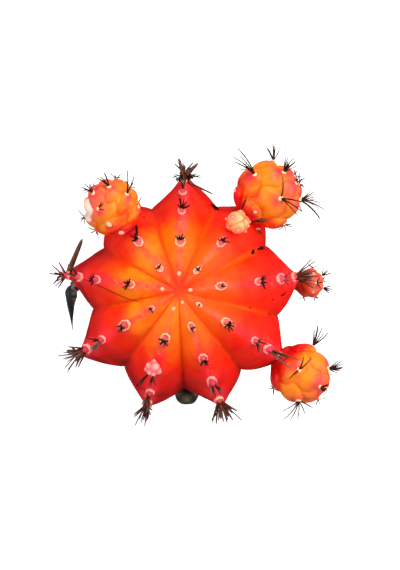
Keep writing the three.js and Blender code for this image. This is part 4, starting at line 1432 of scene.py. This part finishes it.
# lumps are the bearing and tilt of each tubercle with how much larger it is, as an angle, and depth is
# how deep the creases between them are. dot is the size of the wool dots, and hidden how many spines the
# areoles without a fan have and how long.
# tones run from crown to foot, blush lies round each areole, and crease is the colour multiplied into the
# creases as painted shade.
YOUNG = [
    {
        "name": "offset_small_upper_right",
        "slot": "young_flesh",
        "radius": 3.35,
        "middle": (15.8, 18.6, 36.2),
        "crown": (0.25, 0.1, 0.96),
        "dot": 0.3,
        "hidden": (0, 0),
        "depth": 0.3,
        "lumps": [
            (140, 34, 0.42), (-88, 44, 0.36), (-22, 66, 0.12), (75, 70, 0.0), (0, 82, 0.0),
            (-50, 92, 0.0), (205, 88, 0.1), (165, 98, 0.0)
        ],
        "fans": [(75, 70, 64, 7, 3, 3.6, 0), (0, 82, 12, 9, 4, 4.6, 0.2)],
        "tones": [(0.1, "FFBC7C"), (0.35, "FFAC68"), (0.6, "FC8A5C"), (0.9, "F03018")],
        "blush": "F8706C",
        "crease": "FF7868",
    },
    {
        "name": "offset_small_right",
        "radius": 4.4,
        "middle": (37, 2.3, 9.5),
        "crown": (0.85, -0.1, 0.5),
        "dot": 0.4,
        "hidden": (3, 2.0),
        "depth": 0.26,
        "lumps": [
            (0, 25, 0.1), (70, 40, 0.0), (-70, 40, 0.1), (30, 70, 0.0), (-20, 75, 0.08), (75, 85, 0.0),
            (-65, 85, 0.1), (10, 110, 0.0), (-110, 80, 0.0)
        ],
        "fans": [(0, 25, 0, 60, 3, 2.2, 0.4), (30, 70, 40, 40, 4, 2.6, 0.4), (-20, 75, -15, 40, 4, 2.6, 0.4)],
        "tones": [(0.1, "F07444"), (0.35, "E85E34"), (0.6, "D04424"), (0.9, "A82414")],
        "blush": "EC6C60",
        "crease": "FFA080",
    },
    {
        "name": "bud_lower_left",
        "slot": "young_flesh",
        "radius": 2.4,
        "middle": (-6.8, -20.5, 37.1),
        "crown": (-0.1, -0.3, 0.95),
        "dot": 0.17,
        "hidden": (0, 0),
        "depth": 0.42,
        "lumps": [
            (150, 52, 0.1), (38, 28, 0.3), (-30, 72, 0.1), (-92, 60, 0.0), (-130, 60, 0.0), (84, 72, 0.0),
            (190, 84, 0.1)
        ],
        "fans": [(-130, 60, 222, 14, 3, 4.2, 0.2), (-92, 60, 262, 22, 4, 2.6, 0.2)],
        "tones": [(0.1, "FF8A88"), (0.35, "F86874"), (0.6, "F04058"), (0.9, "E82C34")],
        "blush": "FFB8A4",
        "crease": "FF90A0",
    },
    {
        "name": "stunted_offset",
        "slot": "dried_flesh",
        "radius": 3.8,
        "middle": (1.9, -29.2, 8.5),
        "crown": (0.0, -0.3, 0.95),
        "dot": 0.09,
        "hidden": (0, 0),
        "depth": 0.12,
        "lumps": [
            (-90, 30, 0.1), (0, 45, 0.0), (180, 45, 0.1), (-60, 75, 0.0), (-120, 75, 0.1), (-90, 110, 0.0)
        ],
        "fans": [],
        # The olive at its crown is a painted highlight; the near black down its sides is its own dried
        # colour.
        "tones": [(0.08, "5C5A46"), (0.18, "3C3A2C"), (0.32, "14110E"), (0.9, "0A0807")],
        "blush": "6E6A52",
        "crease": "FFC08C",
    },
]


def lumpy_skin(offset, polar, around):
    """How far out the skin of a cluster of tubercles stands, in radii, and the numbers kept there."""
    centres = [tilted(bearing, tilt) for bearing, tilt, _ in offset["lumps"]]
    larger = [extra for *_, extra in offset["lumps"]]
    angles = angles_between(headings(offset, polar, around), centres)
    apart = np.maximum(0, angles - larger)
    first, second = np.sort(apart, axis=1)[:, :2].T
    off_top = 2 * first / (first + second)
    skin = 1 - offset["depth"] * off_top**LUMP_FULLNESS * np.minimum(1, second)
    marks = {
        "crease": off_top**4,
        "areole": np.exp(-((angles.min(axis=1) / YOUNG_BLUSH_WIDTH) ** 2)),
        "lump": np.sin(2.9 * apart.argmin(axis=1)),
    }
    return skin, marks


def lumpy_areoles(offset):
    """The areoles of a cluster, one on top of each tubercle, with the ways they face."""
    middle = neck_of(offset)[0]
    first, second, crown = offset_axes(offset)
    found = []
    for bearing, tilt, _ in offset["lumps"]:
        way = tilted(bearing, tilt)
        polar = np.arccos(np.clip([way @ crown], -1, 1))
        around = np.arctan2([way @ second], [way @ first]) / (2 * math.pi)
        skin = lumpy_skin(offset, polar, around)[0][0]
        found.append((middle + way * (skin * offset["radius"] + YOUNG_DOT_LIFT), way))
    return found


for offset in YOUNG:
    flesh = globe_finish(offset["name"] + "_flesh", offset["tones"], offset["blush"], offset["crease"])
    add_globe(offset, lumpy_skin, flesh, YOUNG_COLUMNS, YOUNG_RINGS)
    dots, needles = offset_growths(offset, lumpy_areoles(offset), roll)
    offset_dots += dots
    offset_needles += needles
offset_wool_material = wool_finish("offset_wool", OFFSET_WOOL)
offset_wool = form("woolly", "aged")
grow(offset_wool, DOT_SIDES, DOT_RINGS, *offset_dots)
finished(offset_wool, "offset_areoles", offset_wool_material, "wool")
offset_spines = form("run", "age")
grow(offset_spines, SPINE_SIDES, SPINE_RINGS, *offset_needles)
finished(offset_spines, "offset_spines", spine_material, "spine")

# Withered flower
# The remains of an old flower on the left rib: a shrivelled black tube and two flat strips of it, dry
# and papery, that hang on by the foot of the tube.
FLOWER_COLUMNS = 36
FLOWER_RINGS = 60
FLOWER_WRINKLES = 0.05
WITHERED_TONES = [(0.3, "020202"), (0.55, "060606"), (0.75, "1C1816")]
PAINTED_SHEEN_GREY = "A09C98"
# In metres: where a painted grey sheen lies on the right of the strips, across and along.
SHEEN_ACROSS = (-0.0319, -0.0306)
SHEEN_ALONG = (-0.009, -0.002)
# The points that the middle of each strip runs through above the graft, its half width, its half
# thickness, and how much narrower its far end is.
STRIPS = [
    ([(-30.0, 2.6, 8.5), (-30.7, 0.8, 7.2), (-31.2, -0.8, 6)], 1.5, 1.3, 0.2),
    ([(-31.4, 1.6, 7), (-32.0, -2.5, 5), (-31.9, -8, 3), (-31.6, -14, 0.6)], 1.65, 0.5, 1.0),
    ([(-30.8, 0.4, 6.4), (-31.0, -2.4, 4.8), (-31.4, -5.6, 3.6)], 0.9, 0.45, 0.7),
]


def through(points, share):
    """Places along a smooth path that passes through points."""
    inner = np.asarray(points, float)
    knots = np.vstack([2 * inner[0] - inner[1], inner, 2 * inner[-1] - inner[-2]])
    spot = np.clip(share, 0, 1) * (len(knots) - 3)
    first = np.minimum(np.floor(spot).astype(int), len(knots) - 4)
    run = (spot - first)[:, None]
    before, start, end, after = (knots[first + step] for step in range(4))
    curved = (2 * before - 5 * start + 4 * end - after) * run**2
    turned_back = (3 * start - before - 3 * end + after) * run**3
    return 0.5 * (2 * start + (end - before) * run + curved + turned_back)


def all_unit(ways):
    """The same ways, each one long."""
    return ways / np.linalg.norm(ways, axis=1)[:, None]


def strip(points, wide, thick, outward, wrinkles, taper=0.0, **marks):
    """The shape of a strip or thread that follows a path, wide across it and thick along outward, and
    narrower by its taper at the far end."""
    slim = 0.5 + 1.7 * taper
    peak = 0.5 / (0.5 + slim)

    def place(share, around):
        middle = through(points, share)
        past = through(points, np.minimum(1, share + 0.02))
        ahead = all_unit(past - through(points, np.maximum(0, share - 0.02)))
        across = all_unit(np.cross(ahead, outward))
        over = np.cross(across, ahead)
        angle = 2 * math.pi * around
        blunt = share**0.5 * (1 - share) ** slim / (peak**0.5 * (1 - peak) ** slim)
        folds = 1 + wrinkles * (np.sin(3 * angle + 11 * share) + 0.7 * np.sin(5 * angle - 23 * share))
        ring = across * (wide * blunt * folds * np.cos(angle))[:, None]
        return middle + ring + over * (thick * blunt * folds * np.sin(angle))[:, None], marks

    return place


def flower_finish():
    """Papery black tissue with a slight gloss, brown where it is thin, and a painted grey sheen on its right.
    """
    made, tree, shader = finish("withered_tissue", 0.24, Specular_IOR_Level=0.5)
    veins = grains(tree, 700, detail=5, rough=0.7)
    black = ramp(tree, veins, WITHERED_TONES)
    # The painted grey sheen: lighter towards the right of the strips, in patches.
    across = graded(tree, place_along(tree, "X"), *SHEEN_ACROSS)
    along = graded(tree, place_along(tree, "Y"), *SHEEN_ALONG)
    patchy = graded(tree, veins, 0.4, 0.6, 0, 0.75)
    pale = maths(tree, "MULTIPLY", maths(tree, "MULTIPLY", across, along), patchy)
    tree.links.new(mixed(tree, pale, black, linear(PAINTED_SHEEN_GREY)), shader.inputs["Base Color"])
    relief(tree, shader, veins, 0.3)
    return made


flower = form()
shapes = []
for points, wide, thick, taper in STRIPS:
    shapes.append(strip(np.array(points) + GRAFT, wide, thick, (0, 0, 1), FLOWER_WRINKLES, taper))
grow(flower, FLOWER_COLUMNS, FLOWER_RINGS, *shapes)
finished(flower, "withered_flower_strips", flower_finish(), "dry_flower", "withered_flower")

# Fallen scraps
# Broken spines, a tangle of dry fibres at the top rib's end, one long hair and specks of soil, all lying
# on the skin of the head.
TANGLE_AREOLE = (2, 37)
TANGLE_THREADS = 30
THREAD_WIDTH = 0.22
THREAD_THICKNESS = 0.12
THREAD_SIDES = 6
THREAD_RINGS = 20
# The photograph's middle and height in pixels, where it was taken from in millimetres, and the lens.
PHOTO_MIDDLE = (200, 285)
PHOTO_HEIGHT = 570
CAMERA = (5.68, 1.70, 484)
LENS = 85
SENSOR = 36
# Each scrap is a path in pixels of the photograph, its half width in millimetres, and its age.
SCRAPS = [
    ([(83, 278.5), (93, 283), (106, 289), (120, 295.5), (132, 300), (142, 302.5)], 0.1, 0.2),
    ([(136, 224), (137, 231), (137.5, 238)], 0.3, 0.0),
    ([(280.5, 295), (283.4, 294.6), (286, 291)], 0.2, 0.0),
    ([(210.5, 205), (214.5, 207.5), (219, 210.5)], 0.5, 0.0),
]
# Specks of soil and burnt crumbs: pixel across, pixel down and radius in millimetres.
SPECKS = [
    (252.5, 253.5, 0.7),
    (252.6, 251.4, 0.8),
    (258, 249.6, 0.8),
    (260.5, 247.6, 0.85),
    (261.6, 249.2, 0.6),
    (250, 307.4, 0.33),
    (269, 314.3, 0.33),
    (272.8, 299.4, 0.3),
    (144, 217.5, 0.3),
    (156, 227, 0.2),
]
SPECK_ROUGHNESS = 0.6
SPECK_WAVES = 2.5


def seen_at(across, down):
    """The place on the head that a pixel of the photograph shows, and the way its skin faces."""
    pixel = SENSOR / LENS / PHOTO_HEIGHT
    ray = Vector(((across - PHOTO_MIDDLE[0]) * pixel, (PHOTO_MIDDLE[1] - down) * pixel, -1))
    at, outward, _, _ = head_surface.ray_cast(Vector(CAMERA), ray.normalized())
    return np.array(at), np.array(outward)


def laid(path, height):
    """A path of pixels laid on the skin, raised by a height, and the way the skin faces there."""
    spots = [seen_at(*pixel) for pixel in path]
    points = np.array([at + height * outward for at, outward in spots])
    return points, unit(sum(outward for _, outward in spots))


lying = []
for path, wide, age in SCRAPS:
    steps = np.linspace(0, 1, 4 * len(path))
    pixels = through(np.array([(*spot, 0) for spot in path]), steps)[:, :2]
    points, outward = laid(pixels, wide * 0.6)
    lying.append(strip(points, wide, 0.7 * wide, outward, 0.1, run=0.0, age=age))
roll = random.Random(47)
at, down, across, outward = areole(*TANGLE_AREOLE)
for _ in range(TANGLE_THREADS):
    start = at + down * roll.uniform(-1.8, 1.5) + across * roll.gauss(-0.4, 1.1)
    bow = start + down * roll.uniform(-1, 2) + across * roll.gauss(0, 1.2) + outward * roll.uniform(0.4, 1.6)
    end = start + down * roll.uniform(-1, 4) + across * roll.gauss(0, 1.8) + outward * roll.uniform(0, 1.2)
    wide = THREAD_WIDTH * roll.uniform(0.6, 1.7)
    lying.append(strip([start, bow, end], wide, THREAD_THICKNESS, outward, 0.2, run=0.0, age=0.0))
scraps = form("run", "age")
grow(scraps, THREAD_SIDES, THREAD_RINGS, *lying)
for across, down, size in SPECKS:
    at, outward = seen_at(across, down)
    shape = Matrix.Rotation(across, 4, "Z") @ Matrix.Diagonal((size, 0.55 * size, 0.5 * size, 1))
    place = Matrix.Translation(at) @ shape
    speck = bmesh.ops.create_icosphere(scraps, subdivisions=2, radius=1, matrix=place)["verts"]
    roughen(speck, SPECK_WAVES, SPECK_ROUGHNESS * size)
finished(scraps, "fallen_scraps", spine_material, "spine")

# Camera, floor and light
# The camera looks straight down on the plant as the photograph does, over a plain white table under
# soft daylight that is a little stronger from the far right.
WHITE = "FFFFFF"
FLOOR_SIZE = 3
FLOOR_CELLS = 8
FLOOR_TONES = [(0.0, "F4F4F2"), (1.0, "F8F8F7")]
FLOOR_GLOW = 0.5
CLIP_START = 0.01
# Each lamp's place in metres, its size and its power in watts, and the point that they all face.
LAMPS = {
    "window": ((0.25, 0.72, 0.85), 0.7, 9),
    "fill_left": ((-0.8, -0.1, 0.6), 0.8, 4.3),
    "fill_right": ((0.8, -0.1, 0.55), 0.8, 5.2),
}
LIT_POINT = (0, 0, 0.09)
# The daylight's tone from straight below at 0, past the horizon at 0.5, to straight above at 1.
DAYLIGHT = [(0.0, "A0A0A0"), (0.35, "B8B8B8"), (0.65, "FFFFFF"), (0.8, "F0F0F0"), (1.0, "C0C0C0")]
DAYLIGHT_STRENGTH = 0.57


def area_light(name, at, size, power):
    """A soft square lamp that faces the plant."""
    data = bpy.data.lights.new(name, "AREA")
    data.size = size
    data.energy = power
    lamp = bpy.data.objects.new(name, data)
    lamp.location = at
    lamp.rotation_euler = (Vector(LIT_POINT) - Vector(at)).to_track_quat("-Z", "Y").to_euler()
    scene.collection.objects.link(lamp)


lens = bpy.data.cameras.new("camera")
lens.lens = LENS
lens.sensor_width = SENSOR
lens.clip_start = CLIP_START
camera = bpy.data.objects.new("camera", lens)
camera.location = [value * MM for value in CAMERA]
scene.collection.objects.link(camera)
scene.camera = camera

for name, lamp in LAMPS.items():
    area_light(name, *lamp)
world = bpy.data.worlds.new("daylight")
world.use_nodes = True
sky = world.node_tree
background = sky.nodes["Background"]
way_up = node(sky, "SeparateXYZ", {0: node(sky, "TexCoord", {}).outputs["Generated"]}).outputs["Z"]
tones = ramp(sky, maths(sky, "ADD", maths(sky, "MULTIPLY", way_up, 0.5), 0.5), DAYLIGHT)
seen = node(sky, "LightPath", {}).outputs["Is Camera Ray"]
sky.links.new(mixed(sky, seen, tones, linear(WHITE)), background.inputs["Color"])
sky.links.new(maths(sky, "MAXIMUM", seen, DAYLIGHT_STRENGTH), background.inputs["Strength"])
scene.world = world
scene.view_settings.view_transform = "Standard"

floor_form = bmesh.new()
bmesh.ops.create_grid(floor_form, x_segments=FLOOR_CELLS, y_segments=FLOOR_CELLS, size=FLOOR_SIZE)
floor = in_scene(floor_form, "floor")
floor_material, floor_tree, floor_shader = finish("floor_white", 0.9, Specular_IOR_Level=0.1)
floor_tone = ramp(floor_tree, grains(floor_tree, 3), FLOOR_TONES)
floor_tree.links.new(floor_tone, floor_shader.inputs["Base Color"])
floor_shader.inputs["Emission Color"].default_value = linear(WHITE)
floor_shader.inputs["Emission Strength"].default_value = FLOOR_GLOW
floor.data.materials.append(floor_material)
floor.visible_diffuse = False
floor.visible_glossy = False
